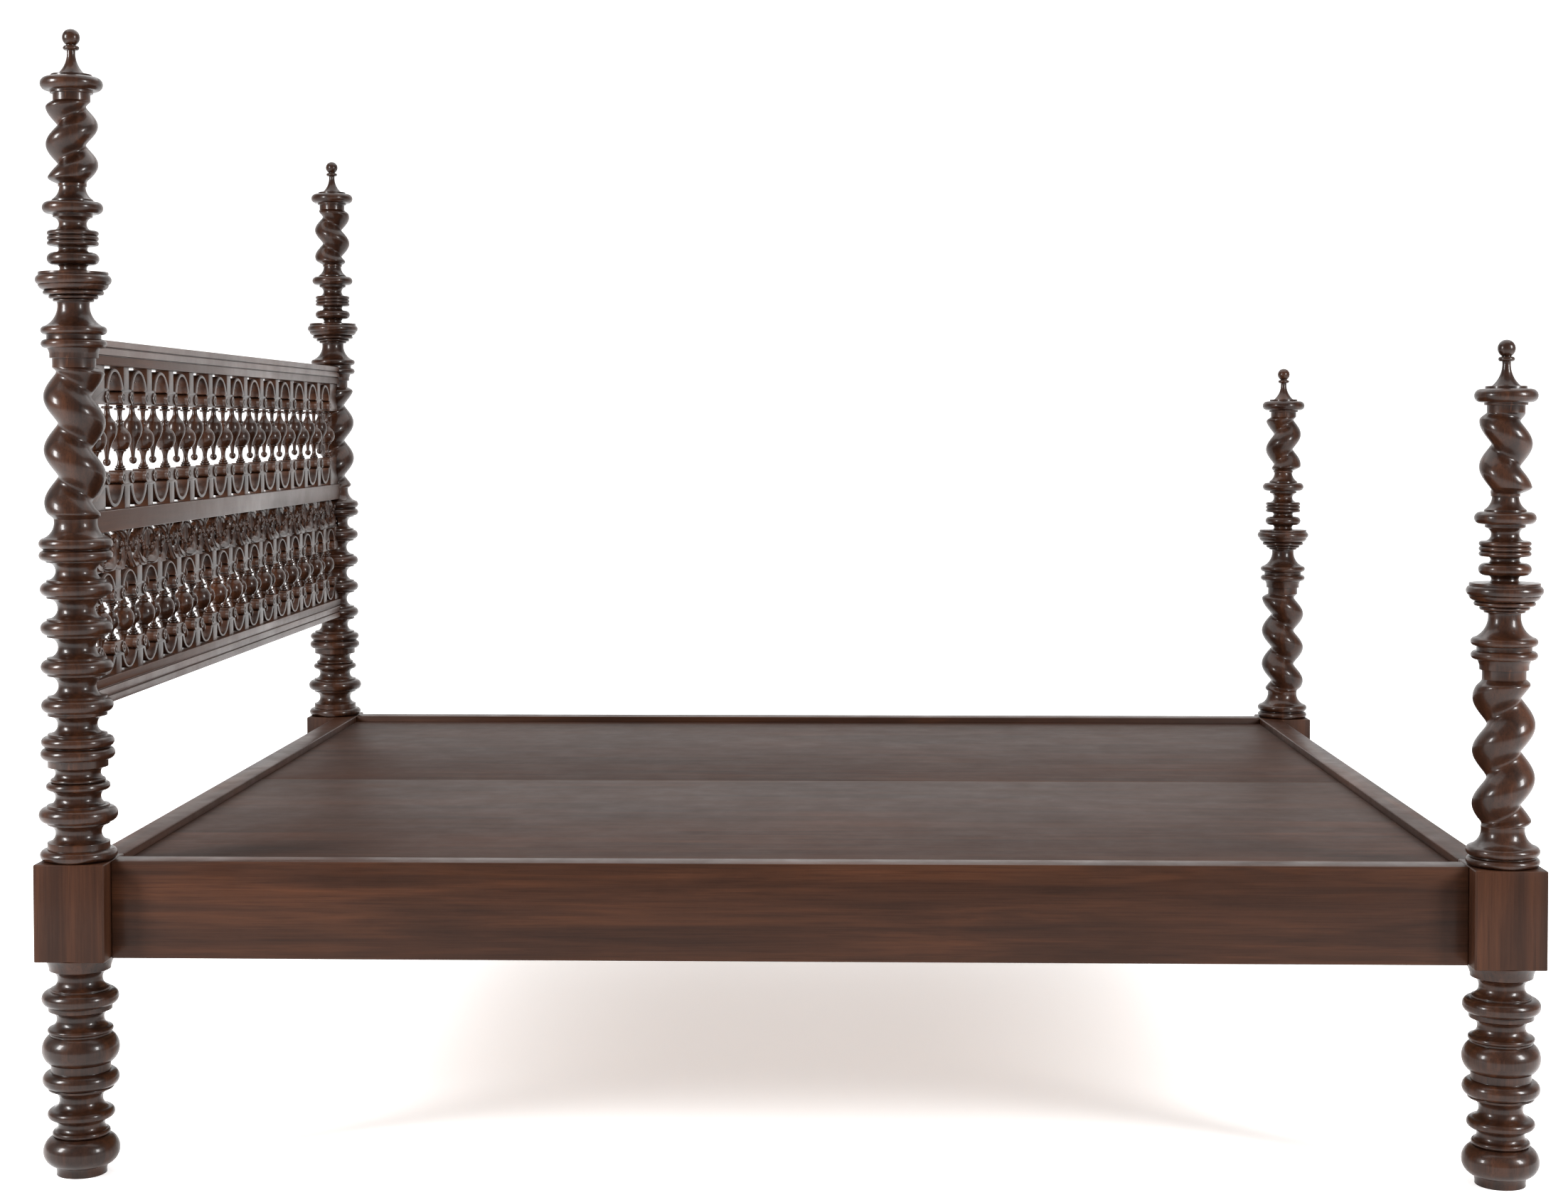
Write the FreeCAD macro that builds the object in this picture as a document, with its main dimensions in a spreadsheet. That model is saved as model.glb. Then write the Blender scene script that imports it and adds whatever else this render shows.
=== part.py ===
import FreeCAD, Part
import math
import os
from FreeCAD import Placement, Rotation, Vector

# Four poster bed with barley-twist posts and a spindle-gallery headboard.
# X runs along the bed (head -X, foot +X), Y across it, Z up, origin on the floor at the middle.

os.makedirs("parts", exist_ok=True)
doc = FreeCAD.newDocument("FourPosterBed")
sheet = doc.addObject("Spreadsheet::Sheet", "Dims")

DIMENSIONS = [
    ("post_centres_length", 2120),
    ("post_centres_width", 1860),
    ("block_side", 106),
    ("block_bottom", 328),
    ("block_height", 146),
    ("rail_bottom", 328),
    ("rail_height", 146),
    ("side_rail_thickness", 45),
    ("side_rail_outset", 18),
    ("end_rail_thickness", 43),
    ("deck_recess", 12),
    ("deck_thickness", 15),
    ("deck_gap", 2),
    ("slat_width", 80),
    ("slat_thickness", 20),
    ("slat_count", 9),
    ("ledger_thickness", 28),
    ("ledger_height", 34),
    ("bearer_width", 45),
    ("bearer_height", 62),
    ("spigot_radius", 12.5),
    ("spigot_length", 28),
    ("headboard_offset", 3),
    ("headboard_rail_thickness", 32),
    ("top_rail_bottom", 1217),
    ("middle_rail_bottom", 961),
    ("middle_rail_height", 33),
    ("bottom_rail_bottom", 699),
    ("bottom_rail_height", 39),
    ("rail_tenon_thickness", 16),
    ("rail_tenon_height", 22),
    ("rail_tenon_root", 14),
    ("arcade_thickness", 23),
    ("upper_arcade_height", 60),
    ("upper_pitch", 129.4),
    ("upper_piers", 14),
    ("lower_arcade_height", 50),
    ("lower_pitch", 117.7),
    ("lower_piers", 16),
    ("gallery_length", 1800),
    ("foliage_height", 61),
    ("foliage_thickness", 18),
    ("peg_radius", 2.4),
    ("peg_length", 8),
    ("crown_peg_length", 2.5),
]

for row, (alias, value) in enumerate(DIMENSIONS, start=1):
    sheet.set(f"A{row}", alias.replace("_", " "))
    sheet.set(f"B{row}", str(value))
    sheet.setAlias(f"B{row}", alias)
doc.recompute()


def dim(alias):
    return float(sheet.get(alias))


HALF_LENGTH = dim("post_centres_length") / 2
HALF_WIDTH = dim("post_centres_width") / 2
BLOCK_TOP = dim("block_bottom") + dim("block_height")
RAIL_TOP = dim("rail_bottom") + dim("rail_height")
DECK_TOP = RAIL_TOP - dim("deck_recess")
SLAT_TOP = DECK_TOP - dim("deck_thickness")
LEDGER_TOP = SLAT_TOP - dim("slat_thickness")
OPENING_HALF_LENGTH = HALF_LENGTH - dim("block_side") / 2
OPENING_HALF_WIDTH = HALF_WIDTH + dim("side_rail_outset") - dim("side_rail_thickness")

# ---------------------------------------------------------------- lathe mouldings, from the foot up
# (kind, height, radii): fillet = straight band, bead = half round, cove = hollow,
# curve = arc through a middle radius to an end radius, ball = round top that ends on the axis.
LEG = [
    ("curve", 14, 37, 40), ("bead", 44, 56.4, 41), ("bead", 9, 42.7), ("cove", 17, 34.5, 42),
    ("bead", 15, 49.5, 42), ("cove", 28, 31.9, 43.7), ("fillet", 2, 43.7), ("fillet", 3, 48.4),
    ("bead", 24, 56.4, 46.3), ("fillet", 12, 44), ("bead", 43, 57.1, 46), ("fillet", 3, 45),
    ("bead", 8, 48.3, 45), ("cove", 26, 34.7, 46.7), ("fillet", 7, 47), ("bead", 23, 56.7, 46),
    ("fillet", 3, 43.6), ("cove", 28, 33, 45.6), ("fillet", 3, 45.6), ("curve", 16, 48.2, 53),
]
FOOT_POST_BASE = [
    ("bead", 13, 53.3, 47.5), ("fillet", 1.5, 47.5), ("bead", 15, 53.5, 46.5),
    ("curve", 26.5, 33.6, 31.7), ("fillet", 2, 31.7),
]
HEAD_POST_BASE = [("bead", 17, 56.6, 48.6)]
SPOOL_UNIT = [("fillet", 3, 43.5), ("bead", 21, 52.7, 43.5), ("fillet", 3, 43.5), ("cove", 31, 27.5, 43.5)]
SPOOLS = (
    [
        ("fillet", 10, 45.9), ("cove", 27, 33.7, 45.9), ("fillet", 3, 45.9), ("bead", 23, 57.9, 47),
        ("fillet", 3, 45.9), ("cove", 22, 33.3, 40), ("bead", 12, 47, 41), ("bead", 6, 40.4),
        ("cove", 17, 33.2, 44.3), ("fillet", 11, 44.3), ("bead", 18, 54.5, 46), ("fillet", 1, 46.9),
        ("bead", 16, 53.5, 46), ("fillet", 4, 43.5), ("cove", 27, 29, 43.5), ("fillet", 2, 43.5),
    ]
    + 3 * SPOOL_UNIT
    + SPOOL_UNIT[:3]
    + [
        ("cove", 27, 30, 44), ("fillet", 2, 44), ("bead", 16, 54, 46.5), ("fillet", 1, 48),
        ("bead", 17, 54, 46.5), ("curve", 26, 33.6, 31.7), ("fillet", 2, 31.7),
    ]
)
BOWL = [
    ("fillet", 14, 31.8), ("fillet", 7, 35.7), ("curve", 8, 37, 38.7), ("bead", 13, 48, 41.5),
    ("fillet", 7, 39.8), ("bead", 13, 48.3, 41.8), ("curve", 36, 25.8, 23.9), ("bead", 4, 30),
    ("bead", 6, 36.2), ("bead", 7, 44.4), ("curve", 8, 49.5, 51.5), ("bead", 15, 55.4, 50),
    ("fillet", 4, 51), ("cove", 11, 19.5, 25), ("bead", 18, 38.1, 29.5), ("cove", 10, 20.8, 26),
    ("bead", 7.5, 37.6), ("bead", 7.5, 37.6), ("bead", 7.5, 37.6), ("cove", 20, 20.2, 29),
    ("fillet", 5, 29), ("bead", 18, 44.4, 35.4), ("fillet", 3, 30.3), ("curve", 19.5, 21.5, 19.2),
    ("fillet", 4, 20.9),
]
FINIAL = [
    ("fillet", 11, 27.4), ("fillet", 4, 31.3), ("bead", 20, 45.6, 35.6), ("fillet", 4, 30), ("step", 0, 21),
    ("curve", 36, 8.6, 6.3), ("bead", 7, 12), ("fillet", 1, 6.9), ("ball", 24, 13),
]
BALUSTER = [
    ("bead", 4, 9), ("bead", 3.5, 7.5), ("step", 0, 5.5), ("curve", 22, 3.9, 7), ("bead", 3.5, 10),
    ("bead", 31, 17.8, 11), ("curve", 12, 6.2, 5), ("bead", 3, 6.8), ("step", 0, 4.2),
    ("curve", 16, 3.4, 4.4), ("bead", 3.5, 9), ("bead", 4.5, 6.2),
]
PENDANT = [
    ("ball_foot", 11.5, 6.2), ("step", 0, 3), ("curve", 32, 5.4, 12.5), ("bead", 26, 15.8, 12.5),
    ("curve", 20, 5.6, 4.4), ("bead", 4.5, 9.2), ("fillet", 36, 3.5), ("bead", 4, 6.8),
    ("bead", 12, 6, 3.6),
]
LONG_SPINDLE = [
    ("bead", 4, 6, 3.1), ("bead", 3, 4.6), ("fillet", 4, 3.1), ("bead", 3, 5.6), ("bead", 16, 9.2, 6.5),
    ("bead", 3, 5.6), ("curve", 15, 4.6, 7.5), ("bead", 3, 11), ("fillet", 2.5, 7.5), ("bead", 37, 18.5, 7.5),
    ("fillet", 2.5, 7.5), ("bead", 3, 11), ("step", 0, 7.5), ("curve", 15, 4.6, 4.1), ("bead", 3, 5.6),
    ("bead", 16, 9.2, 6.5), ("bead", 3, 5.6), ("fillet", 4, 3.1), ("bead", 3, 4.6), ("bead", 4, 6, 3.1),
]
SHORT_SPINDLE = [
    ("bead", 4, 9), ("bead", 4, 7), ("bead", 3, 5), ("curve", 10, 3.6, 7.5), ("bead", 20, 11.4, 7.5),
    ("curve", 10, 3.6, 4), ("bead", 3, 5), ("bead", 4, 7), ("bead", 4, 9),
]


def total_height(mouldings):
    return sum(moulding[1] for moulding in mouldings)


def point(radius, height):
    return Vector(radius, height, 0)


def ball_neck(radius, size):
    """Radius of the flat where a ball that is centred on the axis is cut at a height from its pole."""
    return math.sqrt(radius**2 - (size - radius) ** 2)


def turning_outline(mouldings, start_height, foot_bore=(0, 0), top_bore=(0, 0)):
    """Closed half outline of a turning, with a bored socket (radius, depth) at either end."""
    bore, depth = foot_bore
    radius, height = mouldings[0][2], start_height
    if mouldings[0][0] == "ball_foot":
        radius = 0
    edges = []

    def line_to(new_radius, new_height):
        nonlocal radius, height
        if abs(new_radius - radius) > 1e-6 or abs(new_height - height) > 1e-6:
            edges.append(Part.LineSegment(point(radius, height), point(new_radius, new_height)))
        radius, height = new_radius, new_height

    def arc_to(middle_radius, middle_height, new_radius, new_height):
        nonlocal radius, height
        middle = point(middle_radius, middle_height)
        edges.append(Part.Arc(point(radius, height), middle, point(new_radius, new_height)))
        radius, height = new_radius, new_height

    first_radius = None
    for kind, size, *radii in mouldings:
        top = height + size
        middle = height + size / 2
        if kind == "fillet":
            edge = radii[0]
        elif kind == "bead":
            edge = radii[1] if len(radii) > 1 else radii[0] - size / 2
        elif kind == "cove":
            edge = min(radius, radii[0] + size / 2)
        elif kind == "ball":
            edge = ball_neck(radii[0], size)
        else:
            edge = radii[0] if kind == "step" else radius
        if first_radius is None:
            first_radius = radius = edge
        line_to(edge, height)
        if kind == "fillet":
            line_to(edge, top)
        elif kind == "bead":
            arc_to(radii[0], middle, edge, top)
        elif kind == "cove":
            end = min(radii[1], radii[0] + size / 2)
            arc_to(radii[0], middle, end, top)
        elif kind == "curve":
            arc_to(radii[0], middle, radii[1], top)
        elif kind == "ball":
            arc_to(radii[0], top - radii[0], 0, top)
        elif kind == "ball_foot":
            arc_to(radii[0], height + radii[0], ball_neck(radii[0], size), top)
    if radius > 0:
        bore_top, depth_top = top_bore
        if depth_top:
            line_to(bore_top, height)
            line_to(bore_top, height - depth_top)
        line_to(0, height)
    line_to(0, start_height + depth)
    if depth:
        line_to(bore, start_height + depth)
        line_to(bore, start_height)
    line_to(first_radius, start_height)
    return edges


# ---------------------------------------------------------------- document helpers
def new_body(label):
    body = doc.addObject("PartDesign::Body", label)
    body.Label = label
    body.AllowCompound = True
    return body


def origin_feature(body, role):
    return next(item for item in body.Origin.OriginFeatures if item.Role == role)


def new_sketch(body, name, role, lift=0.0):
    sketch = body.newObject("Sketcher::SketchObject", f"{body.Name}_{name}")
    sketch.AttachmentSupport = [(origin_feature(body, role), "")]
    sketch.MapMode = "FlatFace"
    sketch.AttachmentOffset = Placement(Vector(0, 0, lift), Rotation())
    return sketch


def draw_rectangle(sketch, low_x, low_y, high_x, high_y):
    corners = [(low_x, low_y), (high_x, low_y), (high_x, high_y), (low_x, high_y)]
    draw_polygon(sketch, corners)


def draw_polygon(sketch, corners):
    for start, end in zip(corners, corners[1:] + corners[:1]):
        sketch.addGeometry(Part.LineSegment(Vector(*start, 0), Vector(*end, 0)))


def revolve(body, sketch):
    feature = body.newObject("PartDesign::Revolution", f"{body.Name}_revolution")
    feature.Profile = sketch
    feature.ReferenceAxis = (sketch, ["V_Axis"])
    feature.Angle = 360
    return feature


def pad(body, sketch, name, length, expression=None):
    feature = body.newObject("PartDesign::Pad", f"{body.Name}_{name}")
    feature.Profile = sketch
    feature.Length = length
    if expression:
        feature.setExpression("Length", expression)
    return feature


def pocket_through(body, sketch, name):
    feature = body.newObject("PartDesign::Pocket", f"{body.Name}_{name}")
    feature.Profile = sketch
    feature.Type = "ThroughAll"
    return feature


def repeat(body, feature, sketch, axis, pitch, count):
    pattern = body.newObject("PartDesign::LinearPattern", f"{feature.Name}_pattern")
    pattern.Originals = [feature]
    pattern.Direction = (sketch, [axis])
    pattern.Length = pitch * (count - 1)
    pattern.Occurrences = count
    body.Tip = pattern
    return pattern


def place(item, x="0", y="0", z="0"):
    """Bind a sub-part's position to the sheet."""
    item.setExpression(".Placement.Base.x", x)
    item.setExpression(".Placement.Base.y", y)
    item.setExpression(".Placement.Base.z", z)


def box(name, low, high):
    """Part::Box between two opposite corners."""
    item = doc.addObject("Part::Box", name)
    item.Length, item.Width, item.Height = (b - a for a, b in zip(low, high))
    item.Placement = Placement(Vector(*low), Rotation())
    return item


def combine(kind, name, items):
    item = doc.addObject(kind, name)
    if kind == "Part::Compound":
        item.Links = items
    else:
        item.Shapes = items
    return item


def cut(label, base, tools):
    """Part::Cut of base by one or more tools; the result is the labelled sub-part."""
    tool = tools[0] if len(tools) == 1 else combine("Part::Compound", f"{label}_tools", tools)
    item = doc.addObject("Part::Cut", label)
    item.Base = base
    item.Tool = tool
    item.Label = label
    return item


SUBPARTS = []


def finish(item):
    SUBPARTS.append(item)
    return item


# ---------------------------------------------------------------- posts
CORNERS = {
    "head_left": (-1, 1), "head_right": (-1, -1), "foot_left": (1, 1), "foot_right": (1, -1),
}
SOCKET = (dim("spigot_radius"), dim("spigot_length") + 1)
LONG_TWIST = {"foot": 217, "head": 226}
SHORT_TWIST = {"foot": 119, "head": 123}
SPOOL_BOTTOM = BLOCK_TOP + total_height(HEAD_POST_BASE)
TWIST_BOTTOM = {
    "foot": BLOCK_TOP + total_height(FOOT_POST_BASE),
    "head": SPOOL_BOTTOM + total_height(SPOOLS),
}
# Each twist was cut by hand: its pitch, and the height of its hollow on the -X side above its foot.
LONG_TWIST_FORM = {
    "head_left": (79, 144), "head_right": (79, 147), "foot_left": (74, 170), "foot_right": (78.8, 153.7),
}
SHORT_TWIST_FORM = {
    "head_left": (59, 50), "head_right": (57.5, 84), "foot_left": (67, 83), "foot_right": (67, 70.5),
}


def turned_body(label, mouldings, bottom, foot_bore=(0, 0), top_bore=(0, 0)):
    body = new_body(label)
    sketch = new_sketch(body, "outline", "XZ_Plane")
    for edge in turning_outline(mouldings, bottom, foot_bore, top_bore):
        sketch.addGeometry(edge)
    revolve(body, sketch)
    return body


def post_place(item, corner):
    side_x, side_y = CORNERS[corner]
    place(item, f"{side_x} * Dims.post_centres_length / 2", f"{side_y} * Dims.post_centres_width / 2")


def leg(corner):
    """Turned leg with the square block, and the rings that stand on the block."""
    base = FOOT_POST_BASE if corner.startswith("foot") else HEAD_POST_BASE
    core = [("fillet", dim("block_height"), 50)]
    body = turned_body(f"{corner}_leg_turning", LEG + core + base, 0, top_bore=SOCKET)
    sketch = new_sketch(body, "block", "XY_Plane", dim("block_bottom"))
    half = dim("block_side") / 2
    draw_rectangle(sketch, -half, -half, half, half)
    pad(body, sketch, "block_pad", dim("block_height"), "Dims.block_height")
    # Socket for the spigot of the part above, bored down from the top of the rings.
    bore = new_sketch(body, "socket", "XY_Plane", BLOCK_TOP + total_height(base))
    bore.addGeometry(Part.Circle(Vector(0, 0, 0), Vector(0, 0, 1), SOCKET[0]))
    pocket = body.newObject("PartDesign::Pocket", f"{body.Name}_bore")
    pocket.Profile = bore
    pocket.Length = SOCKET[1]
    post_place(body, corner)
    return body


def ridge(phase):
    """Height of the ridge from 0 in the hollow to 1 on the crest; the hollow is a soft V."""
    softness = 0.09
    floor = math.sqrt(softness)
    return (math.sqrt(math.sin(phase / 2) ** 2 + softness) - floor) / (math.sqrt(1 + softness) - floor)


def twist_section(phase, height, length, crest, hollow, end_radii):
    """Radius of a single-start twist: a round ridge, a soft hollow, and rounded-off ends."""
    run_out = 10.0
    reach = min(height, length - height, run_out)
    weight = math.sin(math.pi / 2 * reach / run_out)
    end = end_radii[0] if height < length / 2 else end_radii[1]
    twisted = hollow + (crest - hollow) * ridge(phase)
    return end + (twisted - end) * weight


def twist_surface(length, form, hand, crest, hollow, end_radii, first):
    """Half of the twist's skin: half a turn round the helix from a first phase, 0 being the hollow."""
    pitch, hollow_height = form
    rows, columns = 12 * math.ceil(length / pitch), 8
    end_rows = [0, 2.5, 5, 7.5]
    heights = end_rows + [10 + (length - 20) * row / rows for row in range(rows + 1)]
    heights += [length - height for height in reversed(end_rows)]
    grid = []
    for column in range(columns + 1):
        phase = first + math.pi * column / columns
        line = []
        for height in heights:
            radius = twist_section(phase, height, length, crest, hollow, end_radii)
            angle = phase + math.pi - hand * 2 * math.pi * (height - hollow_height) / pitch
            line.append(Vector(radius * math.cos(angle), radius * math.sin(angle), height))
        grid.append(line)
    surface = Part.BSplineSurface()
    surface.interpolate(grid)
    return surface.toShape()


def twist_solid(length, form, hand, crest, hollow, end_radii):
    """Barley twist with a round spigot at both ends; hand is +1 for left-handed, -1 for right-handed."""
    sizes = (length, form, hand, crest, hollow, end_radii)
    skins = [twist_surface(*sizes, 0), twist_surface(*sizes, math.pi)]
    faces = list(skins)
    for height in (0, length):
        rim = []
        for skin in skins:
            for edge in skin.Edges:
                bounds = edge.BoundBox
                if abs(bounds.ZMin - height) < 1e-3 and abs(bounds.ZMax - height) < 1e-3:
                    rim.append(edge)
        faces.append(Part.Face(Part.Wire(Part.__sortEdges__(rim))))
    shell = Part.makeShell(faces)
    shell.sewShape()
    solid = Part.makeSolid(shell)
    if solid.Volume < 0:
        solid.reverse()
    radius, reach = dim("spigot_radius"), dim("spigot_length")
    lower = Part.makeCylinder(radius, reach + 10, Vector(0, 0, -reach))
    upper = Part.makeCylinder(radius, reach + 10, Vector(0, 0, length - 10))
    return solid.fuse([lower, upper])


def twist(label, corner, bottom, shape):
    item = doc.addObject("Part::Feature", label)
    item.Label = label
    item.Shape = shape
    side_x, side_y = CORNERS[corner]
    item.Placement = Placement(Vector(side_x * HALF_LENGTH, side_y * HALF_WIDTH, bottom), Rotation())
    return item


def end_of_bed(corner):
    return corner.split("_")[0]


# ---------------------------------------------------------------- bed rail fasteners
HOOK_HEIGHTS = (-26, 26)
SCREW_HEIGHTS = (-48, 48)
PLATE_HALF = (10, 55)


def joint_frames():
    """Frames on the block faces: local +X points from the rail into the block."""
    frames = {}
    rail_mid = dim("rail_bottom") + dim("rail_height") / 2
    side_y = HALF_WIDTH + dim("side_rail_outset") - dim("side_rail_thickness") / 2
    end_x = OPENING_HALF_LENGTH + dim("end_rail_thickness") / 2
    end_y = HALF_WIDTH - dim("block_side") / 2
    for corner, (sx, sy) in CORNERS.items():
        side = Placement(Vector(sx * OPENING_HALF_LENGTH, sy * side_y, rail_mid),
                         Rotation(Vector(0, 0, 1), 0 if sx > 0 else 180))
        end = Placement(Vector(sx * end_x, sy * end_y, rail_mid),
                        Rotation(Vector(0, 0, 1), 90 if sy > 0 else -90))
        frames[corner] = {"side": side, "end": end}
    return frames


def local_box(name, frame, low, high):
    item = box(name, low, high)
    item.Placement = frame.multiply(item.Placement)
    return item


def screw(name, frame, height, inward):
    """Countersunk screw whose head is flush with the joint plane; inward is +1 into the block."""
    turn = Rotation(Vector(0, 1, 0), 90 * inward)
    head_place = frame.multiply(Placement(Vector(0, 0, height), turn))
    head = doc.addObject("Part::Cone", f"{name}_head")
    head.Radius1, head.Radius2, head.Height = 4.2, 2.2, 2.6
    head.Placement = head_place
    shank = doc.addObject("Part::Cylinder", f"{name}_shank")
    shank.Radius, shank.Height = 2.2, 30
    shank.Placement = head_place
    return combine("Part::MultiFuse", name, [head, shank])


def rail_plate(name, frame):
    plate = local_box(f"{name}_plate", frame, (-4, -PLATE_HALF[0], -PLATE_HALF[1]),
                      (0, PLATE_HALF[0], PLATE_HALF[1]))
    pieces = [plate]
    for index, height in enumerate(HOOK_HEIGHTS):
        pieces.append(local_box(f"{name}_shank{index}", frame, (-1, -2, height - 4), (9, 2, height + 4)))
        pieces.append(local_box(f"{name}_lip{index}", frame, (3.5, -2, height - 13), (9, 2, height - 3)))
    return combine("Part::MultiFuse", name, pieces)


def post_plate(name, frame):
    plate = local_box(f"{name}_blank", frame, (0, -PLATE_HALF[0], -PLATE_HALF[1]),
                      (3, PLATE_HALF[0], PLATE_HALF[1]))
    slots = []
    for index, height in enumerate(HOOK_HEIGHTS):
        slots.append(local_box(f"{name}_slot{index}", frame, (-1, -2.5, height - 4), (4, 2.5, height + 15)))
    return plate, slots


def plate_pocket(name, frame):
    """What is cut from a block: the seat of the plate and the two pockets behind its slots."""
    seat = local_box(f"{name}_seat", frame, (-1, -PLATE_HALF[0], -PLATE_HALF[1]),
                     (3, PLATE_HALF[0], PLATE_HALF[1]))
    pieces = [seat]
    for index, height in enumerate(HOOK_HEIGHTS):
        pieces.append(local_box(f"{name}_pocket{index}", frame, (2, -4, height - 15), (11, 4, height + 16)))
    return combine("Part::MultiFuse", name, pieces)


FRAMES = joint_frames()
rail_plates, post_plates, rail_screws, post_screws = [], [], [], []
block_tools = {corner: [] for corner in CORNERS}
rail_tools = {}
for corner, frames in FRAMES.items():
    for kind, frame in frames.items():
        name = f"{corner}_{kind}"
        own_rail_screws = [screw(f"{name}_rail_screw{i}", frame, h, -1) for i, h in enumerate(SCREW_HEIGHTS)]
        own_post_screws = [screw(f"{name}_post_screw{i}", frame, h, 1) for i, h in enumerate(SCREW_HEIGHTS)]
        rail_plates.append(cut(f"{name}_rail_plate", rail_plate(f"{name}_hooks", frame), own_rail_screws))
        plate, slots = post_plate(f"{name}_post_plate", frame)
        post_plates.append(cut(f"{name}_slot_plate", plate, slots + own_post_screws))
        rail_screws += own_rail_screws
        post_screws += own_post_screws
        block_tools[corner] += [plate_pocket(f"{name}_pocket", frame)] + own_post_screws
        seat = local_box(f"{name}_rail_seat", frame, (-4, -PLATE_HALF[0], -PLATE_HALF[1]),
                         (1, PLATE_HALF[0], PLATE_HALF[1]))
        rail_tools[name] = [seat] + own_rail_screws

for label, pieces in (
    ("rail_hook_plates", rail_plates), ("post_slot_plates", post_plates),
    ("rail_plate_screws", rail_screws), ("post_plate_screws", post_screws),
):
    finish(combine("Part::Compound", label, pieces)).Label = label


# ---------------------------------------------------------------- headboard rails
BOARD_X = -HALF_LENGTH + dim("headboard_offset")
HEAD_CORNERS = ("head_left", "head_right")


def rail_section(low, fascias, mirror):
    """Section of a moulded rail as (x, z): fascias (height, half thickness) with quirks between."""
    quirk_height, quirk_depth = 1.6, 2.5
    outline, level = [], low
    for index, (height, half) in enumerate(fascias):
        outline += [(half, level), (half, level + height)]
        level += height
        if index < len(fascias) - 1:
            quirk = min(half, fascias[index + 1][1]) - quirk_depth
            outline += [(quirk, level), (quirk, level + quirk_height)]
            level += quirk_height
    if mirror:
        outline += [(-x, z) for x, z in reversed(outline)]
    return outline


def headboard_blank(label, outline):
    """Rail blank that runs well into both posts, before it is coped to their shape."""
    body = new_body(f"{label}_blank")
    reach = HALF_WIDTH - dim("rail_tenon_root") - 4
    sketch = new_sketch(body, "section", "XZ_Plane", -reach)
    draw_polygon(sketch, outline)
    pad(body, sketch, "length", 2 * reach)
    place(body, "-Dims.post_centres_length / 2 + Dims.headboard_offset")
    return body


def rail_tenons(label, middle_height):
    """Tenons at both ends, in two boxes that the posts' mortises share."""
    tenons = []
    half_t, half_h = dim("rail_tenon_thickness") / 2, dim("rail_tenon_height") / 2
    inner = HALF_WIDTH - 60
    outer = HALF_WIDTH - dim("rail_tenon_root")
    for corner in HEAD_CORNERS:
        low_y, high_y = (inner, outer) if CORNERS[corner][1] > 0 else (-outer, -inner)
        tenons.append(box(f"{label}_tenon_{corner}",
                          (BOARD_X - half_t, low_y, middle_height - half_h),
                          (BOARD_X + half_t, high_y, middle_height + half_h)))
    return tenons


def headboard_rail(label, outline, middle_height, neighbours):
    """Blank coped to the turned posts, with its tenons; returns the tenons too."""
    blank = headboard_blank(label, outline)
    coped = cut(f"{label}_coped", blank, neighbours)
    tenons = rail_tenons(label, middle_height)
    rail = combine("Part::MultiFuse", f"{label}_whole", [coped] + tenons)
    return rail, tenons


spools, long_twists, bowls, short_twists, finials, legs = {}, {}, {}, {}, {}, {}
for corner in CORNERS:
    end = end_of_bed(corner)
    legs[corner] = leg(corner)
    if end == "head":
        spools[corner] = turned_body(f"{corner}_spool_turning", SPOOLS, SPOOL_BOTTOM, top_bore=SOCKET)
        post_place(spools[corner], corner)
    twist_bottom = TWIST_BOTTOM[end]
    hand = CORNERS[corner][0] * CORNERS[corner][1]
    long_shape = twist_solid(LONG_TWIST[end], LONG_TWIST_FORM[corner], hand, 45, 24.4, (31.8, 31.8))
    short_shape = twist_solid(SHORT_TWIST[end], SHORT_TWIST_FORM[corner], -hand, 37.9, 20.5, (20.9, 27.4))
    long_twists[corner] = twist(f"{corner}_long_twist_turning", corner, twist_bottom, long_shape)
    bowl_bottom = twist_bottom + LONG_TWIST[end]
    bowls[corner] = turned_body(f"{corner}_bowl_turning", BOWL, bowl_bottom, SOCKET, SOCKET)
    post_place(bowls[corner], corner)
    short_bottom = bowl_bottom + total_height(BOWL)
    short_twists[corner] = twist(f"{corner}_short_twist", corner, short_bottom, short_shape)
    finish(short_twists[corner])
    finials[corner] = turned_body(f"{corner}_finial", FINIAL, short_bottom + SHORT_TWIST[end], SOCKET)
    post_place(finials[corner], corner)
    finish(finials[corner])

rail_half = dim("headboard_rail_thickness") / 2
top_section = rail_section(dim("top_rail_bottom"), [(13.8, rail_half), (10.5, rail_half + 1.5),
                                                    (10.5, rail_half + 3)], True)
middle_low = dim("middle_rail_bottom")
middle_section = rail_section(middle_low, [(dim("middle_rail_height"), rail_half)], True)
bottom_section = rail_section(dim("bottom_rail_bottom"), [(11, rail_half + 3), (11.5, rail_half + 1.5),
                                                          (13.3, rail_half)], True)
top_rail, top_tenons = headboard_rail(
    "headboard_top_rail", top_section, dim("top_rail_bottom") + 20, [bowls[c] for c in HEAD_CORNERS])
middle_rail, middle_tenons = headboard_rail(
    "headboard_middle_rail", middle_section, middle_low + dim("middle_rail_height") / 2,
    [spools[c] for c in HEAD_CORNERS] + [long_twists[c] for c in HEAD_CORNERS])
bottom_rail, bottom_tenons = headboard_rail(
    "headboard_bottom_rail", bottom_section, dim("bottom_rail_bottom") + 24,
    [spools[c] for c in HEAD_CORNERS])

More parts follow.
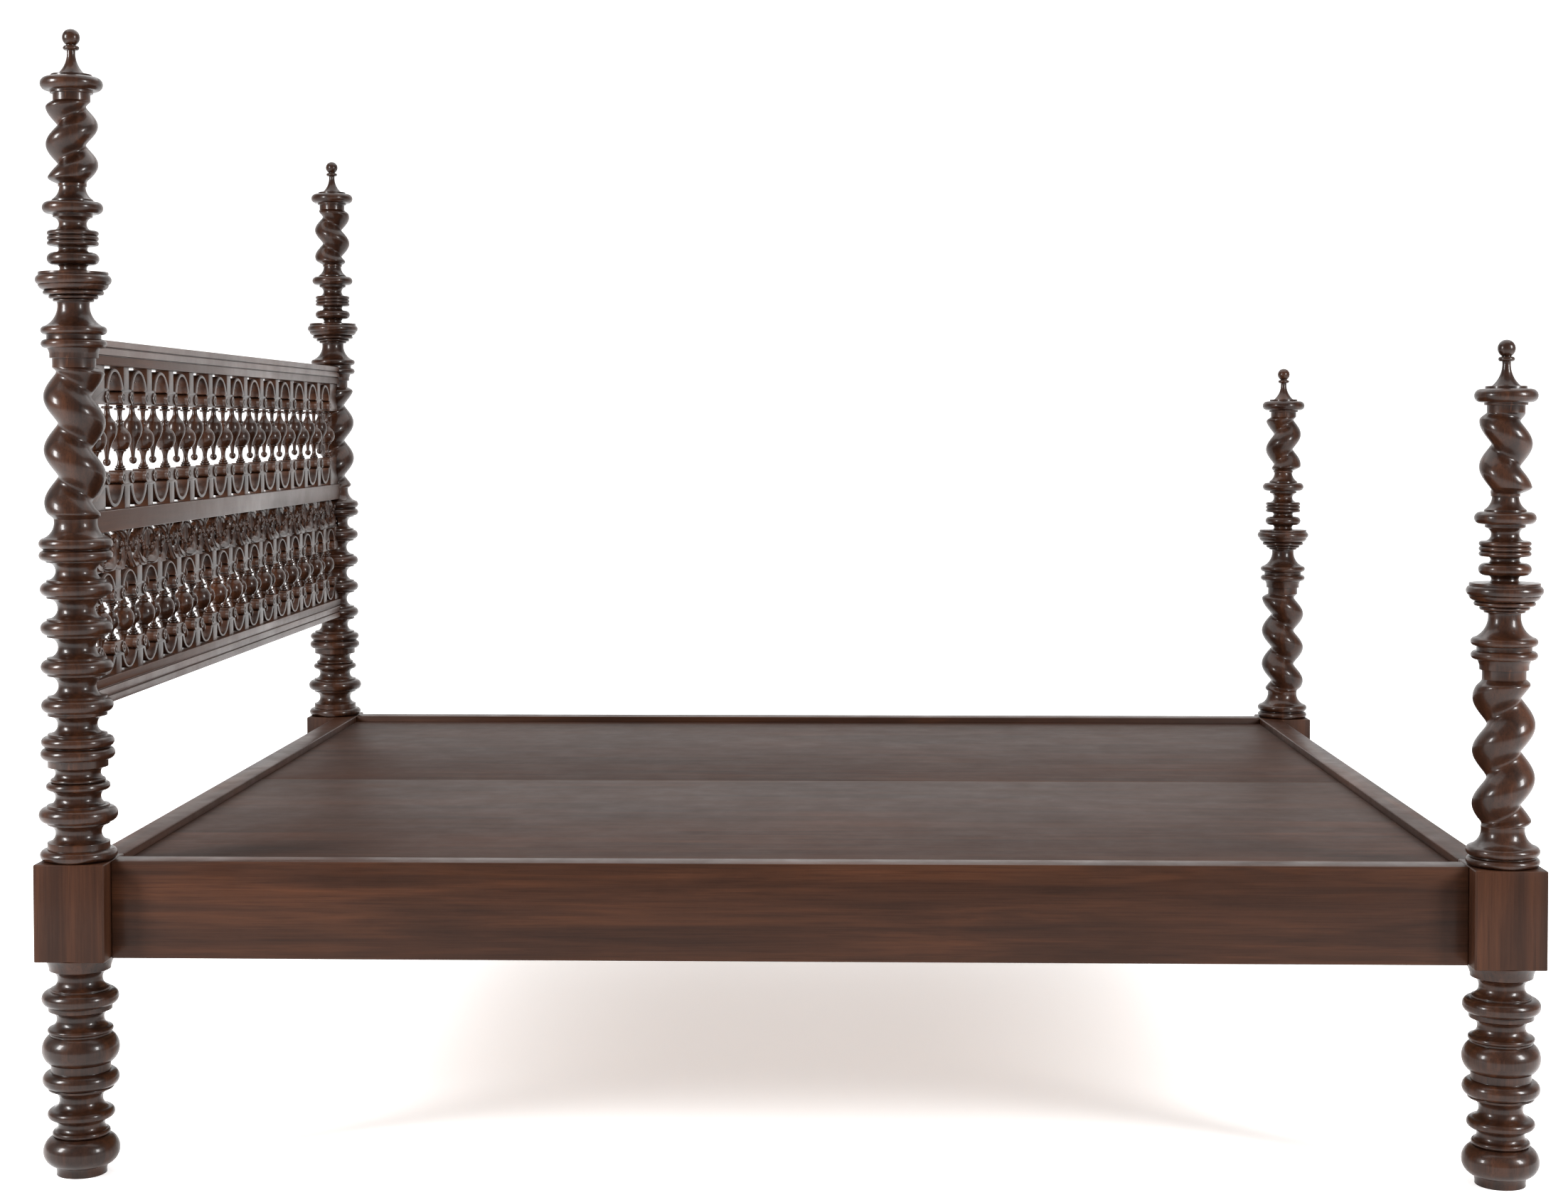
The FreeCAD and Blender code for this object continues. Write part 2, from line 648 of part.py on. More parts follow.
for index, corner in enumerate(HEAD_CORNERS):
    spool_spigot = doc.addObject("Part::Cylinder", f"{corner}_spool_spigot")
    spool_spigot.Radius, spool_spigot.Height = dim("spigot_radius"), dim("spigot_length") + 5
    spigot_low = SPOOL_BOTTOM - dim("spigot_length")
    side_x, side_y = CORNERS[corner]
    spigot_foot = Vector(side_x * HALF_LENGTH, side_y * HALF_WIDTH, spigot_low)
    spool_spigot.Placement = Placement(spigot_foot, Rotation())
    spool = combine("Part::MultiFuse", f"{corner}_spool_with_spigot", [spools[corner], spool_spigot])
    finish(cut(f"{corner}_spool", spool, [bottom_tenons[index], middle_tenons[index]]))
    finish(cut(f"{corner}_long_twist", long_twists[corner], [middle_tenons[index]]))
    finish(cut(f"{corner}_bowl", bowls[corner], [top_tenons[index]]))
for corner in ("foot_left", "foot_right"):
    long_twists[corner].Label = f"{corner}_long_twist"
    bowls[corner].Label = f"{corner}_bowl"
    finish(long_twists[corner])
    finish(bowls[corner])
for corner in CORNERS:
    finish(cut(f"{corner}_leg", legs[corner], block_tools[corner]))


# ---------------------------------------------------------------- galleries of the headboard
PEG, CROWN_PEG, PEG_RADIUS = dim("peg_length"), dim("crown_peg_length"), dim("peg_radius")


# Of an arcade board: edge above and below its rolls, wood under the rolls, and half a pier's width.
ROLL_MARGIN, SHOULDER, PIER_HALF = 2.5, 4.5, 14


def roll_bump(sketch, start, end, crest):
    sketch.addGeometry(Part.Arc(Vector(*start, 0), Vector(*crest, 0), Vector(*end, 0)))


def bay_opening(sketch, centre, height, form):
    """Opening between two piers: a gap between the rolls of the capitals over a round cup."""
    half_gap, roll, cup_half, cup_low = form[:4]
    roll_top = height - ROLL_MARGIN
    roll_low = roll_top - 2 * roll
    cup_top = roll_low - ROLL_MARGIN
    outer = half_gap + roll
    left, right = centre - outer, centre + outer
    cup_left, cup_right = centre - cup_half, centre + cup_half
    for start, end in (
        ((right, height), (left, height)),
        ((left, height), (left, roll_top)),
        ((left, roll_low), (cup_left, cup_top)),
        ((cup_right, cup_top), (right, roll_low)),
        ((right, roll_top), (right, height)),
    ):
        sketch.addGeometry(Part.LineSegment(Vector(*start, 0), Vector(*end, 0)))
    roll_bump(sketch, (left, roll_top), (left, roll_low), (left + roll, roll_top - roll))
    roll_bump(sketch, (cup_left, cup_top), (cup_right, cup_top), (centre, cup_low))
    roll_bump(sketch, (right, roll_low), (right, roll_top), (right - roll, roll_top - roll))


def underside(sketch, pitch, centre, height, form):
    """Opening under a cup from pier to pier: the cup's outer curve hangs just clear of the rail."""
    roll, cup_half, cup_low, rim = form[1:]
    edge = pitch / 2 - PIER_HALF
    shoulder = height - ROLL_MARGIN - 2 * roll - SHOULDER
    hood = cup_half + rim
    crown = 0.4 * cup_low
    left = [(centre - edge, -1), (centre - edge, shoulder), (centre - hood, shoulder)]
    right = [(centre + hood, shoulder), (centre + edge, shoulder), (centre + edge, -1)]
    roll_bump(sketch, left[-1], right[0], (centre, crown))
    for start, end in (left[:2], left[1:], right[:2], right[1:], (right[-1], left[0])):
        sketch.addGeometry(Part.LineSegment(Vector(*start, 0), Vector(*end, 0)))


def peg_holes(body, name, height, first, pitch, count, depth):
    """Row of holes drilled down into a board for the pegs of its spindles."""
    sketch = new_sketch(body, f"{name}_hole", "XY_Plane", height)
    sketch.addGeometry(Part.Circle(Vector(0, first, 0), Vector(0, 0, 1), PEG_RADIUS))
    hole = body.newObject("PartDesign::Pocket", f"{body.Name}_{name}_drilling")
    hole.Profile = sketch
    hole.Length = depth
    repeat(body, hole, sketch, "V_Axis", pitch, count)


def arcade(label, height, pitch, piers, first_pier, form, crown_pegs):
    """Sawn board with its rail side down; form is (half gap, roll, cup half, cup low, rim).

    Piers that fall beyond the spindles, at the posts, carry no spindle.
    """
    thickness = dim("arcade_thickness")
    end_piers = 1 if -first_pier > HALF_WIDTH - 60 else 0
    body = new_body(label)
    board = new_sketch(body, "board", "YZ_Plane", -thickness / 2)
    half = dim("gallery_length") / 2
    draw_rectangle(board, -half, 0, half, height)
    pad(body, board, "board_pad", thickness, "Dims.arcade_thickness")
    first_bay = first_pier + pitch / 2
    front = new_sketch(body, "bay", "YZ_Plane", thickness / 2)
    cup_low = form[3]
    bay_opening(front, first_bay, height, form)
    bay = pocket_through(body, front, "bay_cut")
    repeat(body, bay, front, "H_Axis", pitch, piers - 1)
    below = new_sketch(body, "underside", "YZ_Plane", thickness / 2)
    underside(below, pitch, first_bay, height, form)
    opening = pocket_through(body, below, "underside_cut")
    repeat(body, opening, below, "H_Axis", pitch, piers - 1)
    inner = piers - 2 * end_piers
    peg_holes(body, "pier", height, first_pier + end_piers * pitch, pitch, inner, PEG)
    if crown_pegs:
        peg_holes(body, "crown", height, first_bay, pitch, piers - 1, height - cup_low + CROWN_PEG)
    return body


def spindle_row(label, mouldings, pitch, count, pegs):
    """A row of equal turned spindles, each a solid of its own; pegs are (low, high) lengths."""
    body = new_body(label)
    sketch = new_sketch(body, "outline", "XZ_Plane")
    low_peg, high_peg = pegs
    outline = list(mouldings)
    if low_peg:
        outline.insert(0, ("fillet", low_peg, PEG_RADIUS))
    if high_peg:
        outline.append(("fillet", high_peg, PEG_RADIUS))
    for edge in turning_outline(outline, -low_peg):
        sketch.addGeometry(edge)
    turning = revolve(body, sketch)
    if count > 1:
        line = new_sketch(body, "run", "YZ_Plane")
        line.addGeometry(Part.LineSegment(Vector(0, 0, 0), Vector(1, 0, 0)))
        repeat(body, turning, line, "H_Axis", pitch, count)
    return body


def board_x():
    return "-Dims.post_centres_length / 2 + Dims.headboard_offset"


def flip(item, height):
    """Turn an arcade upside down, so that its rail side meets the rail above it."""
    item.Placement = Placement(Vector(BOARD_X, 0, height), Rotation(Vector(1, 0, 0), 180))


upper_first = -dim("upper_pitch") * (dim("upper_piers") - 1) / 2
lower_first = -dim("lower_pitch") * (dim("lower_piers") - 1) / 2
upper_piers, lower_piers = int(dim("upper_piers")), int(dim("lower_piers"))
UPPER_FORM = (32, 9, 32, 9, 14.5)
LOWER_FORM = (28, 8.5, 30, 6, 12)
upper_height, lower_height = dim("upper_arcade_height"), dim("lower_arcade_height")
middle_top = middle_low + dim("middle_rail_height")
foliage_bottom = middle_low - dim("foliage_height")
bottom_rail_top = dim("bottom_rail_bottom") + dim("bottom_rail_height")

UPPER_ARCADE = (upper_height, dim("upper_pitch"), upper_piers, upper_first, UPPER_FORM)
LOWER_ARCADE = (lower_height, dim("lower_pitch"), lower_piers, lower_first, LOWER_FORM)
arcades = {
    "upper_arcade_low": arcade("upper_arcade_low_board", *UPPER_ARCADE, False),
    "upper_arcade_high": arcade("upper_arcade_high_board", *UPPER_ARCADE, True),
    "lower_arcade_low": arcade("lower_arcade_low_board", *LOWER_ARCADE, True),
    "lower_arcade_high": arcade("lower_arcade_high_board", *LOWER_ARCADE, True),
}
place(arcades["upper_arcade_low"], board_x(), "0", "Dims.middle_rail_bottom + Dims.middle_rail_height")
place(arcades["lower_arcade_low"], board_x(), "0", "Dims.bottom_rail_bottom + Dims.bottom_rail_height")
flip(arcades["upper_arcade_high"], dim("top_rail_bottom"))
flip(arcades["lower_arcade_high"], foliage_bottom)

upper_seat = middle_top + upper_height
upper_span = dim("top_rail_bottom") - upper_height - upper_seat
lower_seat = bottom_rail_top + lower_height
lower_span = foliage_bottom - lower_height - lower_seat


def fitted(mouldings, span):
    """Scale the heights of a moulding list so that it fills the span exactly."""
    factor = span / total_height(mouldings)
    return [(kind, height * factor, *radii) for kind, height, *radii in mouldings]


balusters = spindle_row(
    "upper_balusters", fitted(BALUSTER, upper_span), dim("upper_pitch"), upper_piers, (PEG, PEG))
balusters.Placement = Placement(Vector(BOARD_X, upper_first, upper_seat), Rotation())
pendant_top = dim("top_rail_bottom") - UPPER_FORM[3]
pendant_bottom = pendant_top - total_height(PENDANT)
pendants = spindle_row("upper_pendants", PENDANT, dim("upper_pitch"), upper_piers - 1, (0, CROWN_PEG))
pendants.Placement = Placement(
    Vector(BOARD_X, upper_first + dim("upper_pitch") / 2, pendant_bottom), Rotation())
long_low = bottom_rail_top + LOWER_FORM[3]
long_span = foliage_bottom - LOWER_FORM[3] - long_low
ball_count = lower_piers - 1
ball_spindles = spindle_row(
    "lower_ball_spindles", fitted(LONG_SPINDLE, long_span), dim("lower_pitch"), ball_count,
    (CROWN_PEG, CROWN_PEG))
ball_spindles.Placement = Placement(
    Vector(BOARD_X, lower_first + dim("lower_pitch") / 2, long_low), Rotation())
knob_spindles = spindle_row(
    "lower_knob_spindles", fitted(SHORT_SPINDLE, lower_span), dim("lower_pitch"), lower_piers - 2,
    (PEG, PEG))
knob_spindles.Placement = Placement(
    Vector(BOARD_X, lower_first + dim("lower_pitch"), lower_seat), Rotation())
for item in (balusters, pendants, ball_spindles, knob_spindles):
    finish(item)
for label, board in arcades.items():
    posts = long_twists if label.startswith("upper") else spools
    tools = [posts[corner] for corner in HEAD_CORNERS]
    if label == "upper_arcade_high":
        tools += [bowls[corner] for corner in HEAD_CORNERS]
    finish(cut(label, board, tools))
for label, rail in (
    ("headboard_top_rail", top_rail), ("headboard_middle_rail", middle_rail),
    ("headboard_bottom_rail", bottom_rail),
):
    rail.Label = label
    finish(rail)


# ---------------------------------------------------------------- carved foliage band
def band_between(inner, outer, thickness):
    """Solid strip between two smooth curves of the same number of points."""
    curves = []
    for points in (inner, outer):
        spline = Part.BSplineCurve()
        spline.interpolate([Vector(0, y, z) for y, z in points])
        curves.append(spline.toShape())
    ends = [Part.makeLine(curves[0].Vertexes[i].Point, curves[1].Vertexes[i].Point) for i in (0, -1)]
    wire = Part.Wire([curves[0], ends[1], curves[1].reversed(), ends[0]])
    return Part.Face(wire).extrude(Vector(thickness, 0, 0))


def scroll(centre, start_angle, turns, outer, inner, width, hand, thickness):
    """Strap that winds inwards round a centre and narrows as it goes."""
    steps = 18
    edges = ([], [])
    for step in range(steps + 1):
        part = step / steps
        angle = start_angle + hand * 2 * math.pi * turns * part
        radius = outer + (inner - outer) * part
        half = width * (1 - 0.55 * part) / 2
        for edge, reach in zip(edges, (radius - half, radius + half)):
            edge.append((centre[0] + reach * math.cos(angle), centre[1] + reach * math.sin(angle)))
    return band_between(*edges, thickness)


def leaf(root, tip, width, thickness, bend=0.0):
    """Pointed leaf: two arcs that meet at the root and the tip."""
    root, tip = Vector(0, *root), Vector(0, *tip)
    along = tip - root
    side = Vector(0, -along.z, along.y).normalize()
    middle = (root + tip) / 2
    edges = [
        Part.Arc(root, middle + side * (bend + width / 2), tip).toShape(),
        Part.Arc(tip, middle + side * (bend - width / 2), root).toShape(),
    ]
    return Part.Face(Part.Wire(edges)).extrude(Vector(thickness, 0, 0))


def foliage_unit(pitch, height, thickness):
    """One wave of the scrolling stem, its volute, its leaves and its two edge fillets."""
    amplitude = height * 0.2
    middle = height / 2
    steps = 14
    low, high = [], []
    for step in range(steps + 1):
        y = pitch * step / steps
        z = middle + amplitude * math.sin(2 * math.pi * y / pitch)
        low.append((y, z - 3.2))
        high.append((y, z + 3.2))
    pieces = [band_between(low, high, thickness)]
    for index, (share, hand) in enumerate(((0.25, 1), (0.75, -1))):
        centre = (pitch * share, middle - hand * height * 0.1)
        pieces.append(scroll(centre, hand * math.pi / 2, 1.2, height * 0.34, 5, 6, hand, thickness))
        ball = Part.makeCylinder(5.2, thickness, Vector(0, *centre), Vector(1, 0, 0))
        pieces.append(ball)
        for spread, reach in ((-0.19, 0.48), (-0.08, 0.5), (0.05, 0.5), (0.16, 0.48)):
            root = (pitch * (share + spread * 0.5), middle + hand * amplitude * 0.8)
            tip = (pitch * (share + spread * 1.15), middle + hand * height * reach)
            pieces.append(leaf(root, tip, 9, thickness, 2 * hand))
            root = (pitch * (share + spread * 0.8), middle - hand * height * 0.2)
            tip = (pitch * (share + spread * 1.3), middle - hand * height * reach)
            pieces.append(leaf(root, tip, 8, thickness, -2 * hand))
    edge = 3.0
    pieces.append(Part.makeBox(thickness, pitch, edge, Vector(0, 0, 0)))
    pieces.append(Part.makeBox(thickness, pitch, edge, Vector(0, 0, height - edge)))
    merged = pieces[0].fuse(pieces[1:])
    frame = Part.makeBox(thickness, pitch, height)
    return merged.common(frame)


def foliage_band():
    """Pierced and carved band under the middle rail, nine waves of the same scroll."""
    waves = 9
    height, thickness = dim("foliage_height"), dim("foliage_thickness")
    pitch = dim("gallery_length") / waves
    unit = foliage_unit(pitch, height, thickness)
    units = []
    for index in range(waves):
        copy = unit.copy()
        copy.translate(Vector(0, index * pitch, 0))
        units.append(copy)
    item = doc.addObject("Part::Feature", "foliage_carving")
    item.Shape = units[0].fuse(units[1:])
    item.Placement = Placement(
        Vector(BOARD_X - thickness / 2, -dim("gallery_length") / 2, foliage_bottom), Rotation())
    return item


finish(cut("carved_foliage_band", foliage_band(), [spools[corner] for corner in HEAD_CORNERS]))


# ---------------------------------------------------------------- bed rails
def plain_rail(label, low, high):
    body = new_body(f"{label}_blank")
    sketch = new_sketch(body, "plan", "XY_Plane")
    draw_rectangle(sketch, low[0], low[1], high[0], high[1])
    pad(body, sketch, "height", dim("rail_height"), "Dims.rail_height")
    place(body, "0", "0", "Dims.rail_bottom")
    return body


rail_outer = HALF_WIDTH + dim("side_rail_outset")
end_outer = OPENING_HALF_LENGTH + dim("end_rail_thickness")
end_half = HALF_WIDTH - dim("block_side") / 2
ledger_low = LEDGER_TOP - dim("ledger_height")
ledger_screws = []
bearer_low = LEDGER_TOP - dim("bearer_height")
bearer_stub = 12


def ledger_screw_row(side):
    """Screws that hold one ledger to its rail, driven from inside the bed."""
    count, margin = 8, 90
    row = []
    step = 2 * (OPENING_HALF_LENGTH - margin) / (count - 1)
    inner = side * (OPENING_HALF_WIDTH - dim("ledger_thickness"))
    turn = Rotation(Vector(1, 0, 0), -90 * side)
    for index in range(count):
        x = -OPENING_HALF_LENGTH + margin + index * step
        spot = Placement(Vector(x, inner, ledger_low + dim("ledger_height") / 2), turn)
        head = doc.addObject("Part::Cone", f"ledger_screw_head_{side + 1}_{index}")
        head.Radius1, head.Radius2, head.Height = 4.6, 2.4, 3
        head.Placement = spot
        shank = doc.addObject("Part::Cylinder", f"ledger_screw_shank_{side + 1}_{index}")
        shank.Radius, shank.Height = 2.4, 58
        shank.Placement = spot
        row.append(combine("Part::MultiFuse", f"ledger_screw_{side + 1}_{index}", [head, shank]))
    return row


for name, side in (("left", 1), ("right", -1)):
    low_y, high_y = sorted((side * OPENING_HALF_WIDTH, side * rail_outer))
    blank = plain_rail(f"side_rail_{name}", (-OPENING_HALF_LENGTH, low_y), (OPENING_HALF_LENGTH, high_y))
    row = ledger_screw_row(side)
    ledger_screws += row
    finish(cut(f"side_rail_{name}", blank,
               rail_tools[f"head_{name}_side"] + rail_tools[f"foot_{name}_side"] + row))
    low_y, high_y = sorted((side * OPENING_HALF_WIDTH, side * (OPENING_HALF_WIDTH - dim("ledger_thickness"))))
    strip = box(f"ledger_{name}_strip", (-OPENING_HALF_LENGTH + 5, low_y, ledger_low),
                (OPENING_HALF_LENGTH - 5, high_y, LEDGER_TOP))
    finish(cut(f"ledger_{name}", strip, row))
finish(combine("Part::Compound", "ledger_screws", ledger_screws))

bearer_body = box("bearer_run", (-OPENING_HALF_LENGTH, -dim("bearer_width") / 2, bearer_low),
                  (OPENING_HALF_LENGTH, dim("bearer_width") / 2, LEDGER_TOP))
bearer_tongues = []
for name, side in (("head", -1), ("foot", 1)):
    low_x, high_x = sorted((side * (OPENING_HALF_LENGTH - 2), side * (OPENING_HALF_LENGTH + bearer_stub)))
    bearer_tongues.append(box(f"bearer_tongue_{name}", (low_x, -dim("bearer_width") / 2 + 6, bearer_low + 8),
                              (high_x, dim("bearer_width") / 2 - 6, LEDGER_TOP - 8)))
finish(combine("Part::MultiFuse", "centre_bearer", [bearer_body] + bearer_tongues))
for index, (name, side) in enumerate((("head", -1), ("foot", 1))):
    low_x, high_x = sorted((side * OPENING_HALF_LENGTH, side * end_outer))
    blank = plain_rail(f"{name}_rail", (low_x, -end_half), (high_x, end_half))
    finish(cut(f"{name}_rail", blank, rail_tools[f"{name}_left_end"] + rail_tools[f"{name}_right_end"]
               + [bearer_tongues[index]]))


# ---------------------------------------------------------------- mattress deck
def slats():
    """Cross slats that lie on both ledgers and the centre bearer."""
    body = new_body("deck_slats")
    count, margin = int(dim("slat_count")), 60
    half = OPENING_HALF_LENGTH - margin
    sketch = new_sketch(body, "plan", "XY_Plane")
    reach = OPENING_HALF_WIDTH - 1.5
    draw_rectangle(sketch, -half, -reach, -half + dim("slat_width"), reach)
    first = pad(body, sketch, "slat", dim("slat_thickness"), "Dims.slat_thickness")
    repeat(body, first, sketch, "H_Axis", (2 * half - dim("slat_width")) / (count - 1), count)
    place(body, "0", "0", "Dims.rail_bottom + Dims.rail_height - Dims.deck_recess - Dims.deck_thickness"
                          " - Dims.slat_thickness")
    return body


def deck_panel(label, side):
    body = new_body(label)
    sketch = new_sketch(body, "plan", "XY_Plane")
    gap = dim("deck_gap")
    low_y, high_y = sorted((side * gap / 2, side * (OPENING_HALF_WIDTH - gap / 2)))
    reach = OPENING_HALF_LENGTH - gap / 2
    draw_rectangle(sketch, -reach, low_y, reach, high_y)
    pad(body, sketch, "board", dim("deck_thickness"), "Dims.deck_thickness")
    place(body, "0", "0", "Dims.rail_bottom + Dims.rail_height - Dims.deck_recess - Dims.deck_thickness")
    return body


finish(slats())
finish(deck_panel("deck_panel_left", 1))
finish(deck_panel("deck_panel_right", -1))

# ---------------------------------------------------------------- check and write
doc.recompute()
for item in doc.Objects:
    if "Invalid" in item.State or "Error" in item.State:
        raise RuntimeError(f"{item.Label} failed: {item.State}")
for item in SUBPARTS:
    shape = item.Shape
    if shape.isNull() or not shape.isValid() or not shape.Solids:
        raise RuntimeError(f"{item.Label} has no valid solid")
    if len(item.Label) >= 60:
        raise RuntimeError(f"{item.Label} is too long a name")
    shape.exportStep(f"parts/{item.Label}.step")
    size = shape.BoundBox
    print(item.Label, len(shape.Solids), "solids", round(shape.Volume / 1e3), "cm3",
          [round(v, 1) for v in (size.XMin, size.XMax, size.YMin, size.YMax, size.ZMin, size.ZMax)])
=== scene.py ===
import math
import random

import bmesh
import bpy
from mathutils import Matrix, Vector


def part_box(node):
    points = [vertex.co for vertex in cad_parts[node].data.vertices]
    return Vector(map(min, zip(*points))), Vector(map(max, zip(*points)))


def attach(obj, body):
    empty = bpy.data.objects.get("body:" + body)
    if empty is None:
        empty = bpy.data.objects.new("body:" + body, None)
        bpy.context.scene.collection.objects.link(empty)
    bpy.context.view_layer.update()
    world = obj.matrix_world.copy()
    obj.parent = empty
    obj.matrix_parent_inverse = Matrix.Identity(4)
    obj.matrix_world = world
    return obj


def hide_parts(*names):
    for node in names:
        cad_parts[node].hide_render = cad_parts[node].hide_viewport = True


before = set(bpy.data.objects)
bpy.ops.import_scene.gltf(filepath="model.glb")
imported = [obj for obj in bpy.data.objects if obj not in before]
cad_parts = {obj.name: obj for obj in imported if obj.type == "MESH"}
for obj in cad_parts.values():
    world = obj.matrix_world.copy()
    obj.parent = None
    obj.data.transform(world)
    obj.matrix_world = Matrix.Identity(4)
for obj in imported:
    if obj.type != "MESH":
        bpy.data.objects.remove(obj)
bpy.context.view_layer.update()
MM = 0.001

# ---------------------------------------------------------------- sizes, in mm, as in the CAD model
HALF_LENGTH, HALF_WIDTH = 1060, 930
BLOCK_HALF, BLOCK_BOTTOM, BLOCK_TOP = 53, 328, 474
BOARD_X = -HALF_LENGTH + 3
TOP_RAIL_BOTTOM, MIDDLE_RAIL_BOTTOM, BOTTOM_RAIL_BOTTOM = 1217, 961, 699
MIDDLE_RAIL_HEIGHT, BOTTOM_RAIL_HEIGHT = 33, 39
RAIL_HALF, FASCIA_STEP = 16, 1.5
QUIRK_HEIGHT, QUIRK_DEPTH = 1.6, 2.5
FOLIAGE_HEIGHT = 61
ARCADE_THICKNESS = 23
UPPER_PITCH, UPPER_PIERS, UPPER_ARCADE_HEIGHT = 129.4, 14, 60
LOWER_PITCH, LOWER_PIERS, LOWER_ARCADE_HEIGHT = 117.7, 16, 50
# Half gap, roll, cup half, cup low and rim of an arcade.
UPPER_FORM, LOWER_FORM = (32, 9, 32, 9, 14.5), (28, 8.5, 30, 6, 12)
# Of an arcade board: edge above and below its rolls, wood under the rolls, and half a pier's width.
ROLL_MARGIN, SHOULDER, PIER_HALF = 2.5, 4.5, 14
CORNERS = {
    "head_left": (-1, 1), "head_right": (-1, -1), "foot_left": (1, 1), "foot_right": (1, -1),
}

LEG = [
    ("curve", 14, 37, 40), ("bead", 44, 56.4, 41), ("bead", 9, 42.7), ("cove", 17, 34.5, 42),
    ("bead", 15, 49.5, 42), ("cove", 28, 31.9, 43.7), ("fillet", 2, 43.7), ("fillet", 3, 48.4),
    ("bead", 24, 56.4, 46.3), ("fillet", 12, 44), ("bead", 43, 57.1, 46), ("fillet", 3, 45),
    ("bead", 8, 48.3, 45), ("cove", 26, 34.7, 46.7), ("fillet", 7, 47), ("bead", 23, 56.7, 46),
    ("fillet", 3, 43.6), ("cove", 28, 33, 45.6), ("fillet", 3, 45.6), ("curve", 16, 48.2, 53),
]
BASE = {
    "foot": [
        ("bead", 13, 53.3, 47.5), ("fillet", 1.5, 47.5), ("bead", 15, 53.5, 46.5),
        ("curve", 26.5, 33.6, 31.7), ("fillet", 2, 31.7),
    ],
    "head": [("bead", 17, 56.6, 48.6)],
}
SPOOL_UNIT = [("fillet", 3, 43.5), ("bead", 21, 52.7, 43.5), ("fillet", 3, 43.5), ("cove", 31, 27.5, 43.5)]
SPOOLS = (
    [
        ("fillet", 10, 45.9), ("cove", 27, 33.7, 45.9), ("fillet", 3, 45.9), ("bead", 23, 57.9, 47),
        ("fillet", 3, 45.9), ("cove", 22, 33.3, 40), ("bead", 12, 47, 41), ("bead", 6, 40.4),
        ("cove", 17, 33.2, 44.3), ("fillet", 11, 44.3), ("bead", 18, 54.5, 46), ("fillet", 1, 46.9),
        ("bead", 16, 53.5, 46), ("fillet", 4, 43.5), ("cove", 27, 29, 43.5), ("fillet", 2, 43.5),
    ]
    + 3 * SPOOL_UNIT
    + SPOOL_UNIT[:3]
    + [
        ("cove", 27, 30, 44), ("fillet", 2, 44), ("bead", 16, 54, 46.5), ("fillet", 1, 48),
        ("bead", 17, 54, 46.5), ("curve", 26, 33.6, 31.7), ("fillet", 2, 31.7),
    ]
)
BOWL = [
    ("fillet", 14, 31.8), ("fillet", 7, 35.7), ("curve", 8, 37, 38.7), ("bead", 13, 48, 41.5),
    ("fillet", 7, 39.8), ("bead", 13, 48.3, 41.8), ("curve", 36, 25.8, 23.9), ("bead", 4, 30),
    ("bead", 6, 36.2), ("bead", 7, 44.4), ("curve", 8, 49.5, 51.5), ("bead", 15, 55.4, 50),
    ("fillet", 4, 51), ("cove", 11, 19.5, 25), ("bead", 18, 38.1, 29.5), ("cove", 10, 20.8, 26),
    ("bead", 7.5, 37.6), ("bead", 7.5, 37.6), ("bead", 7.5, 37.6), ("cove", 20, 20.2, 29),
    ("fillet", 5, 29), ("bead", 18, 44.4, 35.4), ("fillet", 3, 30.3), ("curve", 19.5, 21.5, 19.2),
    ("fillet", 4, 20.9),
]
FINIAL = [
    ("fillet", 11, 27.4), ("fillet", 4, 31.3), ("bead", 20, 45.6, 35.6), ("fillet", 4, 30), ("step", 0, 21),
    ("curve", 36, 8.6, 6.3), ("bead", 7, 12), ("fillet", 1, 6.9), ("ball", 24, 13),
]
BALUSTER = [
    ("bead", 4, 9), ("bead", 3.5, 7.5), ("step", 0, 5.5), ("curve", 22, 3.9, 7), ("bead", 3.5, 10),
    ("bead", 31, 17.8, 11), ("curve", 12, 6.2, 5), ("bead", 3, 6.8), ("step", 0, 4.2),
    ("curve", 16, 3.4, 4.4), ("bead", 3.5, 9), ("bead", 4.5, 6.2),
]
PENDANT = [
    ("ball_foot", 11.5, 6.2), ("step", 0, 3), ("curve", 32, 5.4, 12.5), ("bead", 26, 15.8, 12.5),
    ("curve", 20, 5.6, 4.4), ("bead", 4.5, 9.2), ("fillet", 36, 3.5), ("bead", 4, 6.8),
    ("bead", 12, 6, 3.6),
]
LONG_SPINDLE = [
    ("bead", 4, 6, 3.1), ("bead", 3, 4.6), ("fillet", 4, 3.1), ("bead", 3, 5.6), ("bead", 16, 9.2, 6.5),
    ("bead", 3, 5.6), ("curve", 15, 4.6, 7.5), ("bead", 3, 11), ("fillet", 2.5, 7.5), ("bead", 37, 18.5, 7.5),
    ("fillet", 2.5, 7.5), ("bead", 3, 11), ("step", 0, 7.5), ("curve", 15, 4.6, 4.1), ("bead", 3, 5.6),
    ("bead", 16, 9.2, 6.5), ("bead", 3, 5.6), ("fillet", 4, 3.1), ("bead", 3, 4.6), ("bead", 4, 6, 3.1),
]
SHORT_SPINDLE = [
    ("bead", 4, 9), ("bead", 4, 7), ("bead", 3, 5), ("curve", 10, 3.6, 7.5), ("bead", 20, 11.4, 7.5),
    ("curve", 10, 3.6, 4), ("bead", 3, 5), ("bead", 4, 7), ("bead", 4, 9),
]
TWIST_LENGTH = {"foot": (217, 119), "head": (226, 123)}
# Radius of the crest, of the hollow, and of the lower and upper end.
LONG_TWIST_RADII, SHORT_TWIST_RADII = (45, 24.4, (31.8, 31.8)), (37.9, 20.5, (20.9, 27.4))
